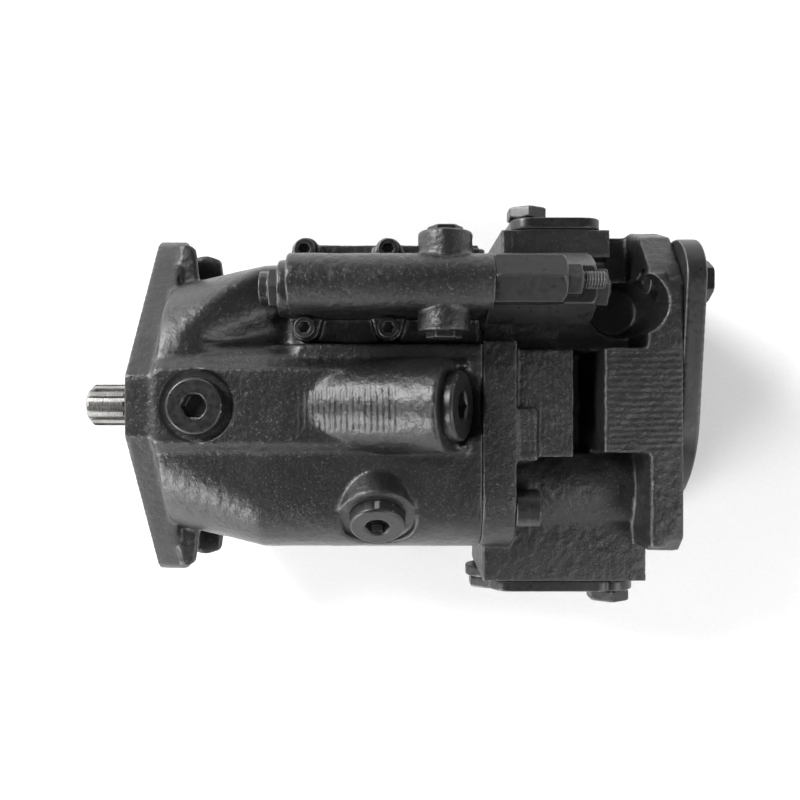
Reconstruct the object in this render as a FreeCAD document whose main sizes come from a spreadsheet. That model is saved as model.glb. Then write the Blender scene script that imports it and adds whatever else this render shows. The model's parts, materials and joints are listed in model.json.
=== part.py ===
import FreeCAD, Part
import math
import os
import Sketcher
from FreeCAD import Placement, Rotation, Vector

# Axial piston pump with a cradle swash plate, a two-bolt mounting flange and a two-spool control valve.
# Origin: centre of the mounting flange face, on the shaft axis.  +X runs rearwards along the shaft, +Y points
# to the pressure port and +Z to the side that carries the control valve and the case drain plug.

doc = FreeCAD.newDocument("AxialPistonPump")
sheet = doc.addObject("Spreadsheet::Sheet", "Dims")

# ----------------------------------------------------------------------------------------------------------
# Driving dimensions, in millimetres and degrees
# ----------------------------------------------------------------------------------------------------------
DIMENSIONS = {
    # mounting flange, two bolts on 146 mm, and its pilot
    "flange_thick": 14.2,
    "flange_half_height": 60.5,
    "flange_flat_half": 14.0,
    "ear_radius": 14.0,
    "ear_offset": 73.0,
    "ear_root": 61.0,
    "bolt_hole_radius": 7.15,
    "pilot_radius": 50.8,
    "pilot_depth": 2.0,
    # cast case
    "cone_half_width": 62.0,
    "cone_half_height": 56.5,
    "cone_corner": 46.0,
    "cone_end": 60.0,
    "case_half_width": 69.5,
    "case_half_height": 56.0,
    "case_corner": 27.0,
    "split_face": 165.0,
    "spine_height": 61.5,
    "spine_half_top": 17.0,
    "spine_half_foot": 24.0,
    "spine_end": 158.0,
    "cavity_radius": 44.0,
    "pad_height": 40.0,
    "pad_edge": 29.0,
    "pad_start": 69.0,
    "pad_outer_start": 76.0,
    "pad_outer_edge": 77.0,
    # swash plate and its pivot
    "pivot": 95.0,
    "swash_face": 11.12,
    "swash_radius": 40.0,
    "cradle_radius": 37.9,
    "cradle_half_width": 40.5,
    "lobe_half_height": 24.0,
    "seat_limit": 32.5,
    "shell_thick": 2.0,
    "lug_gap": 0.8,
    # rotating group
    "piston_circle": 29.0,
    "piston_radius": 7.97,
    "bore_radius": 8.0,
    "ball_radius": 5.5,
    "socket_radius": 5.6,
    "foot_radius": 9.6,
    "block_radius": 40.0,
    "block_start": 114.5,
    "block_end": 160.9,
    "retainer_radius": 20.0,
    "plate_radius": 40.3,
    "plate_hole": 8.8,
    "valve_plate_thick": 4.0,
    # drive shaft
    "shaft_nose": 38.3,
    "spline_tip": 11.1,
    "spline_root": 9.5,
    "spline_length": 20.1,
    "spline_phase": 10.3,
    "shaft_radius": 12.5,
    "bearing_seat": 15.0,
    "tail_radius": 8.5,
    # slanted stroking cylinder
    "slant": 22.0,
    "stroke_plug_x": 155.0,
    "stroke_plug_z": 67.0,
    "stroke_bore": 7.6,
    "stroke_plug_head": 16.0,
    "stroke_boss": 22.0,
    # drain plugs
    "drain_head": 13.0,
    "drain_thread": 9.0,
    "drain_head_thick": 6.0,
    "drain_x": 33.0,
    "side_plug_x": 116.0,
    "side_plug_seat": 74.0,
    # port plate
    "rear_face": 258.0,
    "flange_rear": 181.0,
    "pressure_x": 203.3,
    "pressure_face": 85.7,
    "suction_x": 204.0,
    "suction_face": 87.4,
    "cover_thick": 5.4,
    "gasket_thick": 0.5,
    # rear cover
    "rear_cover_thick": 9.5,
    "rear_cover_turn": 35.0,
    # control valve
    "spool_y": 55.0,
    "near_spool_z": 79.0,
    "far_spool_z": 52.0,
    "near_tube": 12.3,
    "far_tube": 13.3,
    "valve_start": 78.0,
    "valve_end": 166.8,
    "spool_radius": 5.95,
    "spool_bore": 6.0,
    "near_cap_flats": 20.6,
    "far_cap_flats": 29.4,
    "near_cap_end": 198.0,
    "far_cap_end": 215.7,
}
PISTONS = 9
SPLINE_TEETH = 13
BLOCK_KEYS = 10
# places of the screws: port plate (Y, Z), control valve (X, Y), port covers (X, Z from the port's axis)
PORT_SCREWS = ((-49.0, 46.0), (-49.0, -46.0), (49.0, -46.0), (60.0, 18.0))
VALVE_SCREWS = ((82.0, 36.6), (121.0, 36.6), (82.0, 73.0), (121.0, 73.0))
PRESSURE_BOLTS = ((-13.9, 28.6), (13.9, -28.6))
SUCTION_BOLTS = ((29.35, 15.1), (-29.35, -15.1))

sheet.set("A1", "name")
sheet.set("B1", "value")
for row, (alias, value) in enumerate(DIMENSIONS.items(), start=2):
    sheet.set("A%d" % row, alias)
    sheet.set("B%d" % row, str(value))
    sheet.setAlias("B%d" % row, alias)
doc.recompute()


# ----------------------------------------------------------------------------------------------------------
# Sizes that carry their spreadsheet expression
# ----------------------------------------------------------------------------------------------------------
class Size:
    """A number together with the expression that gives it from the sheet."""

    def __init__(self, value, text):
        self.value = value
        self.text = text

    def __add__(self, other):
        other = as_size(other)
        return Size(self.value + other.value, "(%s + %s)" % (self.text, other.text))

    def __sub__(self, other):
        other = as_size(other)
        return Size(self.value - other.value, "(%s - %s)" % (self.text, other.text))

    def __mul__(self, factor):
        return Size(self.value * factor, "(%s * %.9g)" % (self.text, factor))

    def __neg__(self):
        return self * -1.0

    def __radd__(self, other):
        return as_size(other) + self

    def __rsub__(self, other):
        return as_size(other) - self


def as_size(number):
    """Turn a plain number into a Size; a Size passes through."""
    if isinstance(number, Size):
        return number
    return Size(float(number), "%.9g" % number)


def dim(alias):
    """The Size of a cell of the sheet."""
    return Size(DIMENSIONS[alias], "Dims.%s" % alias)


def bind(item, prop, size):
    """Set a property and, when it comes from the sheet, bind it to its expression."""
    size = as_size(size)
    if "Dims." in size.text:
        item.setExpression(prop, size.text)
    elif not prop.startswith("Placement") and not prop.startswith("AttachmentOffset"):
        setattr(item, prop, size.value)


def place(item, x=0.0, y=0.0, z=0.0, turn=None):
    """Place an object, binding the coordinates that come from the sheet."""
    x, y, z = as_size(x), as_size(y), as_size(z)
    item.Placement = Placement(Vector(x.value, y.value, z.value), turn or Rotation())
    bind(item, "Placement.Base.x", x)
    bind(item, "Placement.Base.y", y)
    bind(item, "Placement.Base.z", z)
    return item


ALONG_X = Rotation(Vector(0, 1, 0), 90)
ALONG_Y = Rotation(Vector(1, 0, 0), -90)
ALONG_MINUS_Y = Rotation(Vector(1, 0, 0), 90)
SLANTED = Rotation(Vector(0, 1, 0), 90 - DIMENSIONS["slant"])
SIDEWAYS = Rotation(Vector(1, 0, 0), 45)


# ----------------------------------------------------------------------------------------------------------
# Primitives and booleans
# ----------------------------------------------------------------------------------------------------------
def block(name, x_range, y_range, z_range):
    """A box between two values on each axis."""
    item = doc.addObject("Part::Box", name)
    bind(item, "Length", as_size(x_range[1]) - x_range[0])
    bind(item, "Width", as_size(y_range[1]) - y_range[0])
    bind(item, "Height", as_size(z_range[1]) - z_range[0])
    return place(item, x_range[0], y_range[0], z_range[0])


def rod(name, radius, length, x=0.0, y=0.0, z=0.0, turn=ALONG_X, sweep=360.0):
    """A cylinder that starts at a point and runs along the turned Z axis."""
    item = doc.addObject("Part::Cylinder", name)
    bind(item, "Radius", radius)
    bind(item, "Height", length)
    item.Angle = sweep
    return place(item, x, y, z, turn)


def cone(name, radius_low, radius_high, length, x=0.0, y=0.0, z=0.0, turn=ALONG_X):
    """A frustum that starts at a point and runs along the turned Z axis."""
    item = doc.addObject("Part::Cone", name)
    bind(item, "Radius1", radius_low)
    bind(item, "Radius2", radius_high)
    bind(item, "Height", length)
    return place(item, x, y, z, turn)


def ball(name, radius, x=0.0, y=0.0, z=0.0):
    """A full sphere."""
    item = doc.addObject("Part::Sphere", name)
    bind(item, "Radius", radius)
    return place(item, x, y, z)


def ring(name, radius, wire, x=0.0, y=0.0, z=0.0, turn=ALONG_X):
    """A torus such as an O-ring."""
    item = doc.addObject("Part::Torus", name)
    bind(item, "Radius1", radius)
    bind(item, "Radius2", wire)
    return place(item, x, y, z, turn)


def hexagon(name, flats, length, x=0.0, y=0.0, z=0.0, turn=ALONG_X):
    """A hexagonal prism given by its width across flats."""
    item = doc.addObject("Part::Prism", name)
    item.Polygon = 6
    bind(item, "Circumradius", as_size(flats) * (1 / math.sqrt(3)))
    bind(item, "Height", length)
    return place(item, x, y, z, turn)


def fuse(name, *items):
    """The union of several objects."""
    item = doc.addObject("Part::MultiFuse", name)
    item.Shapes = list(items)
    item.Refine = True
    return item


def common(name, *items):
    """The common volume of several objects."""
    item = doc.addObject("Part::MultiCommon", name)
    item.Shapes = list(items)
    return item


def cut(name, base, *tools):
    """A base less one or more tools."""
    tool = tools[0] if len(tools) == 1 else fuse(name + "_tools", *tools)
    item = doc.addObject("Part::Cut", name)
    item.Base = base
    item.Tool = tool
    item.Refine = True
    return item


def group(name, items):
    """Several separate solids of one kind, such as identical fasteners."""
    item = doc.addObject("Part::Compound", name)
    item.Links = list(items)
    return item


# ----------------------------------------------------------------------------------------------------------
# PartDesign bodies with sketches
# ----------------------------------------------------------------------------------------------------------
def new_body(name):
    """A PartDesign body."""
    return doc.addObject("PartDesign::Body", name)


def new_sketch(body, name, plane, offset=0.0):
    """A sketch on one of the body's own origin planes, moved along the plane's normal."""
    sketch = body.newObject("Sketcher::SketchObject", name)
    for feature in body.Origin.OriginFeatures:
        if feature.Role == plane:
            sketch.AttachmentSupport = [(feature, "")]
    sketch.MapMode = "FlatFace"
    offset = as_size(offset)
    sketch.AttachmentOffset = Placement(Vector(0, 0, offset.value), Rotation())
    bind(sketch, "AttachmentOffset.Base.z", offset)
    return sketch


def pin_point(sketch, geometry, end, point):
    """Hold one end of a line or arc at a pair of sizes."""
    for axis, size in zip(("DistanceX", "DistanceY"), point):
        size = as_size(size)
        index = sketch.addConstraint(Sketcher.Constraint(axis, -1, 1, geometry, end, size.value))
        if "Dims." in size.text:
            sketch.setExpression("Constraints[%d]" % index, size.text)


def polygon(sketch, points):
    """A closed outline of straight lines through pairs of sizes."""
    corners = [(as_size(a), as_size(b)) for a, b in points]
    first = sketch.GeometryCount
    for (a, b), (c, d) in zip(corners, corners[1:] + corners[:1]):
        sketch.addGeometry(Part.LineSegment(Vector(a.value, b.value, 0), Vector(c.value, d.value, 0)))
    count = len(corners)
    for k in range(count):
        following = first + (k + 1) % count
        sketch.addConstraint(Sketcher.Constraint("Coincident", first + k, 2, following, 1))
        pin_point(sketch, first + k, 1, corners[k])


def rounded_box(sketch, half_width, half_height, corner):
    """A centred rectangle with round corners."""
    half_width, half_height, corner = as_size(half_width), as_size(half_height), as_size(corner)
    inner_width, inner_height = half_width - corner, half_height - corner
    first = sketch.GeometryCount
    for quarter in range(4):
        side_x = 1 if quarter in (0, 3) else -1
        side_y = 1 if quarter in (0, 1) else -1
        centre = (inner_width * side_x, inner_height * side_y)
        start = math.pi / 2 * quarter
        circle = Part.Circle(Vector(centre[0].value, centre[1].value, 0), Vector(0, 0, 1), corner.value)
        sketch.addGeometry(Part.ArcOfCircle(circle, start, start + math.pi / 2))
        ends = [(half_width * side_x, centre[1]), (centre[0], half_height * side_y)]
        if quarter in (1, 3):
            ends.reverse()
        pin_point(sketch, first + quarter, 1, ends[0])
        pin_point(sketch, first + quarter, 2, ends[1])
        index = sketch.addConstraint(Sketcher.Constraint("Radius", first + quarter, corner.value))
        sketch.setExpression("Constraints[%d]" % index, corner.text)
    for quarter in range(4):
        a = sketch.Geometry[first + quarter].EndPoint
        b = sketch.Geometry[first + (quarter + 1) % 4].StartPoint
        line = sketch.addGeometry(Part.LineSegment(a, b))
        sketch.addConstraint(Sketcher.Constraint("Coincident", line, 1, first + quarter, 2))
        sketch.addConstraint(Sketcher.Constraint("Coincident", line, 2, first + (quarter + 1) % 4, 1))


def pad(body, name, sketch, length):
    """Extrude a sketch along its normal."""
    feature = body.newObject("PartDesign::Pad", name)
    feature.Profile = sketch
    bind(feature, "Length", length)
    return feature


def turned(name, profile, x=0.0, y=0.0, z=0.0, turn=None):
    """A body of revolution about the X axis, from pairs of position and radius."""
    body = new_body(name)
    sketch = new_sketch(body, name + "_profile", "XZ_Plane")
    polygon(sketch, profile)
    feature = body.newObject("PartDesign::Revolution", name + "_turn")
    feature.Profile = sketch
    feature.ReferenceAxis = (sketch, ["H_Axis"])
    feature.Angle = 360
    return place(body, x, y, z, turn)


def prism_along_y(name, profile, half_width):
    """An outline in the XZ plane, extruded both ways along Y."""
    body = new_body(name)
    sketch = new_sketch(body, name + "_outline", "XZ_Plane")
    polygon(sketch, profile)
    feature = pad(body, name + "_pad", sketch, as_size(half_width) * 2)
    feature.Midplane = True
    return body


def prism_along_x(name, profile, start, length):
    """An outline in the YZ plane, extruded rearwards."""
    body = new_body(name)
    sketch = new_sketch(body, name + "_outline", "YZ_Plane", start)
    polygon(sketch, profile)
    pad(body, name + "_pad", sketch, length)
    return body


def on_circle(radius, index, count, start=90.0):
    """The Y and Z of a place on a circle about the shaft."""
    angle = math.radians(start + 360.0 * index / count)
    return as_size(radius) * math.cos(angle), as_size(radius) * math.sin(angle)


def along_slant(distance):
    """A point on the stroking cylinder's axis, a distance inwards from its plug's face."""
    angle = math.radians(DIMENSIONS["slant"])
    x = dim("stroke_plug_x") - as_size(distance) * math.cos(angle)
    z = dim("stroke_plug_z") - as_size(distance) * math.sin(angle)
    return {"x": x, "z": z}


def spring(name, radius, wire, turns, length, x, y=0.0, z=0.0):
    """A helical spring of round wire with its axis along X."""
    helix = doc.addObject("Part::Helix", name + "_path")
    helix.Pitch = length / turns
    helix.Height = length
    helix.Radius = radius
    section = doc.addObject("Part::Circle", name + "_section")
    section.Radius = wire
    section.Placement = Placement(Vector(radius, 0, 0), Rotation(Vector(1, 0, 0), 90))
    sweep = doc.addObject("Part::Sweep", name)
    sweep.Sections = [section]
    sweep.Spine = (helix, [])
    sweep.Solid = True
    sweep.Frenet = True
    return place(sweep, x, y, z, ALONG_X)


pivot = dim("pivot")
split = dim("split_face")
spool_y = dim("spool_y")
near_z = dim("near_spool_z")
far_z = dim("far_spool_z")
nodes = {}


# ----------------------------------------------------------------------------------------------------------
# Pump housing: flange, pilot and case, cast in one
# ----------------------------------------------------------------------------------------------------------
def flange_outline():
    """The diamond outline of the flange without its round ears."""
    flat = DIMENSIONS["flange_flat_half"]
    height = DIMENSIONS["flange_half_height"]
    centre = DIMENSIONS["ear_offset"]
    radius = DIMENSIONS["ear_radius"]
    reach = math.hypot(centre - flat, height)
    slope = math.atan2(height, centre - flat)
    touch = math.pi - slope - math.acos(radius / reach)
    tangent_y = centre + radius * math.cos(touch)
    tangent_z = radius * math.sin(touch)
    right = [(flat, height), (tangent_y, tangent_z), (tangent_y, -tangent_z), (flat, -height)]
    left = [(-y, z) for y, z in reversed(right)]
    return right + left


def make_case():
    """The outside of the case before any machining."""
    barrel = new_body("case_barrel")
    front = new_sketch(barrel, "case_front", "YZ_Plane", dim("flange_thick") - 1.0)
    rounded_box(front, dim("cone_half_width"), dim("cone_half_height"), dim("cone_corner"))
    middle = new_sketch(barrel, "case_middle", "YZ_Plane", dim("cone_end"))
    rounded_box(middle, dim("case_half_width"), dim("case_half_height"), dim("case_corner"))
    loft = barrel.newObject("PartDesign::AdditiveLoft", "case_cone")
    loft.Profile = front
    loft.Sections = [middle]
    rear = new_sketch(barrel, "case_rear", "YZ_Plane", dim("cone_end"))
    rounded_box(rear, dim("case_half_width"), dim("case_half_height"), dim("case_corner"))
    pad(barrel, "case_pad", rear, split - dim("cone_end"))

    plate = prism_along_x("flange_plate", flange_outline(), 0.0, dim("flange_thick"))
    ears = []
    for side in (1, -1):
        ears.append(rod("flange_ear", dim("ear_radius"), dim("flange_thick"), y=dim("ear_offset") * side))
    pilot = rod("flange_pilot", dim("pilot_radius"), dim("pilot_depth") + 1.0, x=-dim("pilot_depth"))

    gussets = []
    for side in (1, -1):
        outline = [
            (13.0, 82.0 * side),
            (19.5, 83.0 * side),
            (27.0, 80.5 * side),
            (30.0, 62.0 * side),
            (13.0, 62.0 * side),
        ]
        for low, high, reach in ((-20.0, -14.6, 1.0), (14.0, 18.5, 0.62)):
            web = new_body("flange_gusset")
            sketch = new_sketch(web, "gusset_outline", "XY_Plane", low)
            points = [(13.0 + (x - 13.0) * reach, y) for x, y in outline]
            polygon(sketch, points if side > 0 else list(reversed(points)))
            pad(web, "gusset_pad", sketch, high - low)
            gussets.append(web)

    spines = []
    for side in (1, -1):
        outline = [
            (-dim("spine_half_foot"), 50.0 * side),
            (-dim("spine_half_foot"), dim("case_half_height") * side - 2.0 * side),
            (-dim("spine_half_top"), dim("spine_height") * side),
            (dim("spine_half_top"), dim("spine_height") * side),
            (dim("spine_half_foot"), dim("case_half_height") * side - 2.0 * side),
            (dim("spine_half_foot"), 50.0 * side),
        ]
        if side < 0:
            outline.reverse()
        spines.append(prism_along_x("case_spine", outline, 13.0, dim("spine_end") - 13.0))

    boss_end = along_slant(85.0)
    boss = rod("stroke_boss_solid", dim("stroke_boss"), 85.0 - 5.5, turn=SLANTED, **boss_end)
    side_boss = rod("side_plug_boss", 18.5, dim("side_plug_seat") - 50.0, x=dim("side_plug_x"),
                    y=-50.0 * math.sqrt(0.5), z=50.0 * math.sqrt(0.5), turn=SIDEWAYS)
    valve_pad = block("valve_pad", (dim("pad_outer_start"), split), (40.0, dim("pad_outer_edge")),
                      (14.0, dim("pad_height")))
    return fuse("case_solid", barrel, plate, pilot, boss, side_boss, valve_pad, *ears, *gussets, *spines)


def valve_nose_relief():
    """The slope that falls to the valve's pad and leaves room for the ends of the spool bores."""
    floor = dim("pad_height")
    slope = prism_along_y("nose_slope", [
        (15.0, 57.5), (61.5, 43.0), (dim("pad_start"), floor), (75.0, floor), (75.0, 90.0), (15.0, 90.0),
    ], 90.0)
    side = block("nose_side", (10.0, 80.0), (dim("pad_edge"), 95.0), (30.0, 95.0))
    return common("nose_relief", slope, side)


def make_housing():
    """The machined housing."""
    tools = [valve_nose_relief()]
    # pocket for the control valve
    tools.append(block("valve_pocket", (dim("pad_start"), split + 5.0), (dim("pad_edge"), 90.0),
                       (dim("pad_height"), 90.0)))
    # bolt holes with spot faces behind the ears
    for side in (1, -1):
        tools.append(rod("flange_hole", dim("bolt_hole_radius"), 40.0, x=-5.0, y=dim("ear_offset") * side))
        tools.append(rod("ear_spot_face", 13.6, 14.0, x=dim("flange_thick"), y=dim("ear_offset") * side))
    # shaft seal bore, bearing pocket and shaft passage
    tools.append(rod("seal_bore", 21.0, 25.0, x=-12.0))
    tools.append(rod("ring_groove", 22.2, 1.6, x=-5.7))
    tools.append(rod("front_bearing_pocket", 31.0, 25.0, x=12.0))
    tools.append(rod("shaft_passage", 27.0, 30.0, x=34.0))
    # cradle seats, swash swing space, cavity and lug slots
    seat = dim("cradle_radius") + dim("shell_thick") + 0.15
    half = dim("cradle_half_width") + 2.5
    # the seat stops short of the upper wall where the valve's lower screws are tapped
    tools.append(cut("cradle_seat", rod("cradle_seat_round", seat, half * 2, x=pivot, y=-half, turn=ALONG_Y),
                     block("screw_wall", (50.0, 140.0), (32.0, 50.0), (dim("seat_limit"), 50.0))))
    tools.append(rod("swing_space", 46.0, 45.0, x=pivot, y=-22.5, turn=ALONG_Y))
    tools.append(rod("cavity", dim("cavity_radius"), split + 5.0 - 88.0, x=88.0))
    tools.append(block("upper_lug_slot", (pivot - 20.0, pivot + 17.0), (-8.5, 8.5), (30.0, 57.0)))
    tools.append(block("lower_lug_slot", (pivot - 29.0, pivot + 8.0), (-8.5, 8.5), (-56.0, -30.0)))
    tools.append(rod("bias_bore", 6.2, 70.0, x=pivot + 4.0, z=-47.5))
    # stroking cylinder, its thread and its spot face
    tools.append(rod("stroke_cylinder", dim("stroke_bore"), 60.0, turn=SLANTED, **along_slant(56.0)))
    tools.append(rod("stroke_thread", 11.0, 20.0, turn=SLANTED, **along_slant(18.5)))
    tools.append(rod("stroke_ring_seat", 13.4, 20.0, turn=SLANTED, **along_slant(7.6)))
    tools.append(rod("stroke_spot_face", 19.5, 20.0, turn=SLANTED, **along_slant(5.5)))
    # drain ports: upper and side
    seat_z = dim("spine_height") - 1.5
    tools.append(rod("drain_spot", 17.2, 10.0, x=dim("drain_x"), z=seat_z, turn=Rotation()))
    tools.append(rod("drain_ring_seat", 11.3, 10.0, x=dim("drain_x"), z=seat_z - 2.0, turn=Rotation()))
    tools.append(rod("drain_bore", dim("drain_thread"), 25.0, x=dim("drain_x"), z=seat_z - 14.0,
                     turn=Rotation()))
    tools.append(rod("drain_drilling", 5.0, 40.0, x=dim("drain_x") + 6.0, z=22.0, turn=Rotation()))
    root = math.sqrt(0.5)
    for name, radius, depth in (("side_spot", 17.6, 0.0), ("side_ring_seat", 11.3, 2.0),
                                ("side_bore", 9.0, 14.0), ("side_drilling", 5.0, 36.0)):
        start = dim("side_plug_seat") - depth
        tools.append(rod(name, radius, 40.0, x=dim("side_plug_x"), y=start * -root, z=start * root,
                         turn=SIDEWAYS))
    # tapped holes for the port plate screws and the control valve screws
    for y, z in PORT_SCREWS:
        tools.append(rod("port_screw_hole", 6.05, 30.0, x=split - 25.0, y=y, z=z))
    for x, y in VALVE_SCREWS:
        tools.append(rod("valve_screw_hole", 3.05, 10.0, x=x, y=y, z=dim("pad_height") - 6.0,
                         turn=Rotation()))
    return cut("housing_casting", make_case(), *tools)


def ear_zone(side):
    """The space round one bolt ear and the webs behind it."""
    root = dim("ear_root")
    span = (root, 95.0) if side > 0 else (-95.0, -root)
    return block("ear_zone", (-5.0, 31.0), span, (-45.0, 45.0))


# one casting in two nodes: each ear is a simple solid, so its bolt hole stays open in the collision too
housing_casting = make_housing()
ear_zones = [ear_zone(side) for side in (1, -1)]
nodes["pump_housing"] = cut("pump_housing", housing_casting, *ear_zones)
nodes["flange_ears"] = group("flange_ears", [common("flange_ear_with_webs", housing_casting, zone)
                                             for zone in ear_zones])


# ----------------------------------------------------------------------------------------------------------
# Port plate: rear casting with the pressure and suction blocks and the through-drive pad
# ----------------------------------------------------------------------------------------------------------
def make_port_plate():
    """The rear casting."""
    flange = new_body("plate_flange")
    sketch = new_sketch(flange, "plate_flange_outline", "YZ_Plane", split)
    rounded_box(sketch, dim("case_half_width"), dim("case_half_height"), dim("case_corner"))
    pad(flange, "plate_flange_pad", sketch, dim("flange_rear") - split)

    flange_rear = dim("flange_rear")
    rear = dim("rear_face")
    face = dim("pressure_face")
    base = -dim("suction_face")
    core = block("plate_core", (flange_rear - 1.0, 243.0), (-62.0, 62.0), (-50.0, 28.0))
    middle = block("near_block", (flange_rear - 1.0, 208.0), (-24.0, 27.0), (20.0, 52.0))
    rib = block("near_rib", (flange_rear - 1.0, 191.0), (-26.0, -1.0), (20.0, 55.0))
    panel = block("near_panel", (221.0, 250.0), (-22.0, 27.0), (20.0, 57.5))
    upper_arm = block("upper_arm", (241.0, 250.0), (20.0, 62.0), (0.0, 57.5))
    lower_arm = block("lower_arm", (242.5, 250.0), (-66.0, -15.0), (-40.0, 57.5))
    channel = rod("suction_channel", 30.0, 62.0, x=flange_rear - 1.0, y=-40.0, z=6.0)
    pressure = block("pressure_block", (176.0, 229.0), (72.0, face), (-38.0, 38.0))
    pressure_root = block("pressure_root", (178.0, 229.0), (50.0, 75.0), (-38.0, 29.0))
    saddle = block("saddle", (225.0, 250.0), (40.0, 86.0), (-17.0, 17.0))
    suction = block("suction_block", (167.5, 249.0), (base, -58.0), (-30.0, 30.0))
    pad_outline = [
        (-68.5, 50.0), (-61.0, 57.5), (57.0, 57.5), (66.0, 52.0), (82.0, 38.0), (87.5, 20.0), (87.5, -30.0),
        (70.0, -50.0), (57.0, -57.5), (-61.0, -57.5), (-68.5, -50.0),
    ]
    rear_pad = prism_along_x("rear_pad", list(reversed(pad_outline)), 243.0, rear - 243.0)
    far_panel = block("far_panel", (flange_rear - 1.0, 250.0), (-30.0, 30.0), (-57.5, -20.0))
    solid = fuse("port_plate_solid", flange, core, middle, rib, panel, upper_arm, lower_arm, channel,
                 pressure, pressure_root, saddle, suction, rear_pad, far_panel)

    tools = []
    tools.append(block("cap_relief", (split - 5.0, 225.0), (30.5, 71.8), (29.5, 90.0)))
    tools.append(rod("scallop", 15.0, 60.0, x=236.0, y=48.0, z=26.0, turn=Rotation()))
    tools.append(rod("rear_bearing_pocket", 20.0, 193.0 - 160.0, x=160.0))
    tools.append(rod("coupling_bore", 20.0, 80.0, x=196.0))
    tools.append(rod("shaft_hole", 14.0, 60.0, x=180.0))
    tools.append(rod("cover_recess", dim("pilot_radius"), 20.0, x=rear - 6.0))
    # kidney passages and port drillings
    for side, port, width in ((1, dim("pressure_x"), 12.5), (-1, dim("suction_x"), 16.0)):
        turn = ALONG_Y if side > 0 else ALONG_MINUS_Y
        tools.append(rod("port_drilling", width, 62.0, x=port, y=28.0 * side, turn=turn))
        tools.append(rod("kidney_passage", 3.6, port - split + 8.0, x=split - 4.0, y=27.0 * side))
    # seal groove on the split face
    tools.append(cut("split_groove", rod("groove_outer", 47.7, 1.9, x=split),
                     rod("groove_inner", 45.5, 4.0, x=split - 1.0)))
    # screw holes and pockets
    for y, z in PORT_SCREWS:
        tools.append(rod("screw_passage", 6.2, 30.0, x=split - 5.0, y=y, z=z))
        tools.append(rod("screw_pocket", 10.6, 15.0, x=flange_rear, y=y, z=z))
    tools.append(block("screw_pocket_mouth", (flange_rear, flange_rear + 15.0), (49.4, 70.6), (18.0, 45.0)))
    for z in (46.0, -46.0):
        outer = (z, 70.0) if z > 0 else (-70.0, z)
        tools.append(block("screw_side_mouth", (flange_rear, flange_rear + 15.0), (-59.6, -38.4), outer))
    for y, z in rear_bolts():
        tools.append(rod("rear_bolt_hole", 6.05, 30.0, x=rear - 16.0, y=y, z=z))
    for x, z in PRESSURE_BOLTS:
        tools.append(rod("pressure_bolt_hole", 6.05, 30.0, x=dim("pressure_x") + x, y=face - 13.5, z=z,
                         turn=ALONG_Y))
    for x, z in SUCTION_BOLTS:
        tools.append(rod("suction_bolt_hole", 6.05, 30.0, x=dim("suction_x") + x, y=base + 15.5, z=z,
                         turn=ALONG_MINUS_Y))
    return cut("port_plate", solid, *tools)


def rear_bolts():
    """Places of the two rear cover bolts, on the 146 mm line turned by the cover's angle."""
    angle = math.radians(DIMENSIONS["rear_cover_turn"])
    y = dim("ear_offset") * math.cos(angle)
    z = dim("ear_offset") * math.sin(angle)
    return ((y, z), (-y, -z))


nodes["port_plate"] = make_port_plate()


# ----------------------------------------------------------------------------------------------------------
# Fasteners and plugs
# ----------------------------------------------------------------------------------------------------------
def socket_screw(name, shank, head, head_height, length, socket, **where):
    """A socket head cap screw: its origin is under the head and +Z runs out through the head."""
    turn = where.pop("turn")
    solid = new_body(name + "_blank")
    sketch = new_sketch(solid, name + "_profile", "XZ_Plane")
    chamfer = 0.08 * head
    polygon(sketch, [
        (-length, 0.0), (-length, shank - 0.6), (-length + 0.8, shank), (0.0, shank), (0.0, head),
        (head_height - chamfer, head), (head_height, head - chamfer), (head_height, 0.0),
    ])
    feature = solid.newObject("PartDesign::Revolution", name + "_turn")
    feature.Profile = sketch
    feature.ReferenceAxis = (sketch, ["H_Axis"])
    drive = hexagon(name + "_drive", socket, head_height, x=head_height * 0.45)
    screw = cut(name, solid, drive)
    return place(screw, turn=turn * ALONG_X.inverted(), **where)


def hex_bolt(name, shank, flats, head_height, length, **where):
    """A hexagon bolt: its origin is under the head and +Z runs out through the head."""
    turn = where.pop("turn")
    corner = flats / math.sqrt(3)
    head = hexagon(name + "_head", flats, head_height, turn=Rotation(Vector(0, 0, 1), 30))
    crown = cone(name + "_crown", corner + head_height * 1.5 - 1.0, corner - 1.0, head_height,
                 turn=Rotation())
    flare = cone(name + "_flare", flats / 2 - 0.2, flats / 2 + 0.6, 0.8, turn=Rotation())
    washer_face = cut(name + "_under", rod(name + "_slab", corner + 2.0, 0.8, turn=Rotation()), flare)
    body = cut(name + "_body", common(name + "_cap", head, crown), washer_face)
    bolt = fuse(name, body, rod(name + "_shank", shank, length + 0.5, z=-length, turn=Rotation()))
    return place(bolt, turn=turn, **where)


def socket_plug(name, head, thickness, thread, length, socket, turn, **where):
    """A screw plug with an inner hexagon: its origin is under the head, its head on the +Z side."""
    body = new_body(name + "_blank")
    sketch = new_sketch(body, name + "_profile", "XZ_Plane")
    polygon(sketch, [
        (-length, 0.0), (-length, thread - 1.0), (-length + 1.0, thread), (0.0, thread), (0.0, head),
        (thickness - 0.9, head), (thickness, head - 0.9), (thickness, 0.0),
    ])
    feature = body.newObject("PartDesign::Revolution", name + "_turn")
    feature.Profile = sketch
    feature.ReferenceAxis = (sketch, ["H_Axis"])
    drive = hexagon(name + "_drive", socket, 12.0, x=thickness - 6.5)
    mouth = cone(name + "_mouth", socket * 0.5, socket * 0.5 + 1.5, 1.5, x=thickness - 1.1)
    plug = cut(name, body, drive, mouth)
    return place(plug, turn=turn * ALONG_X.inverted(), **where)


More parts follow.
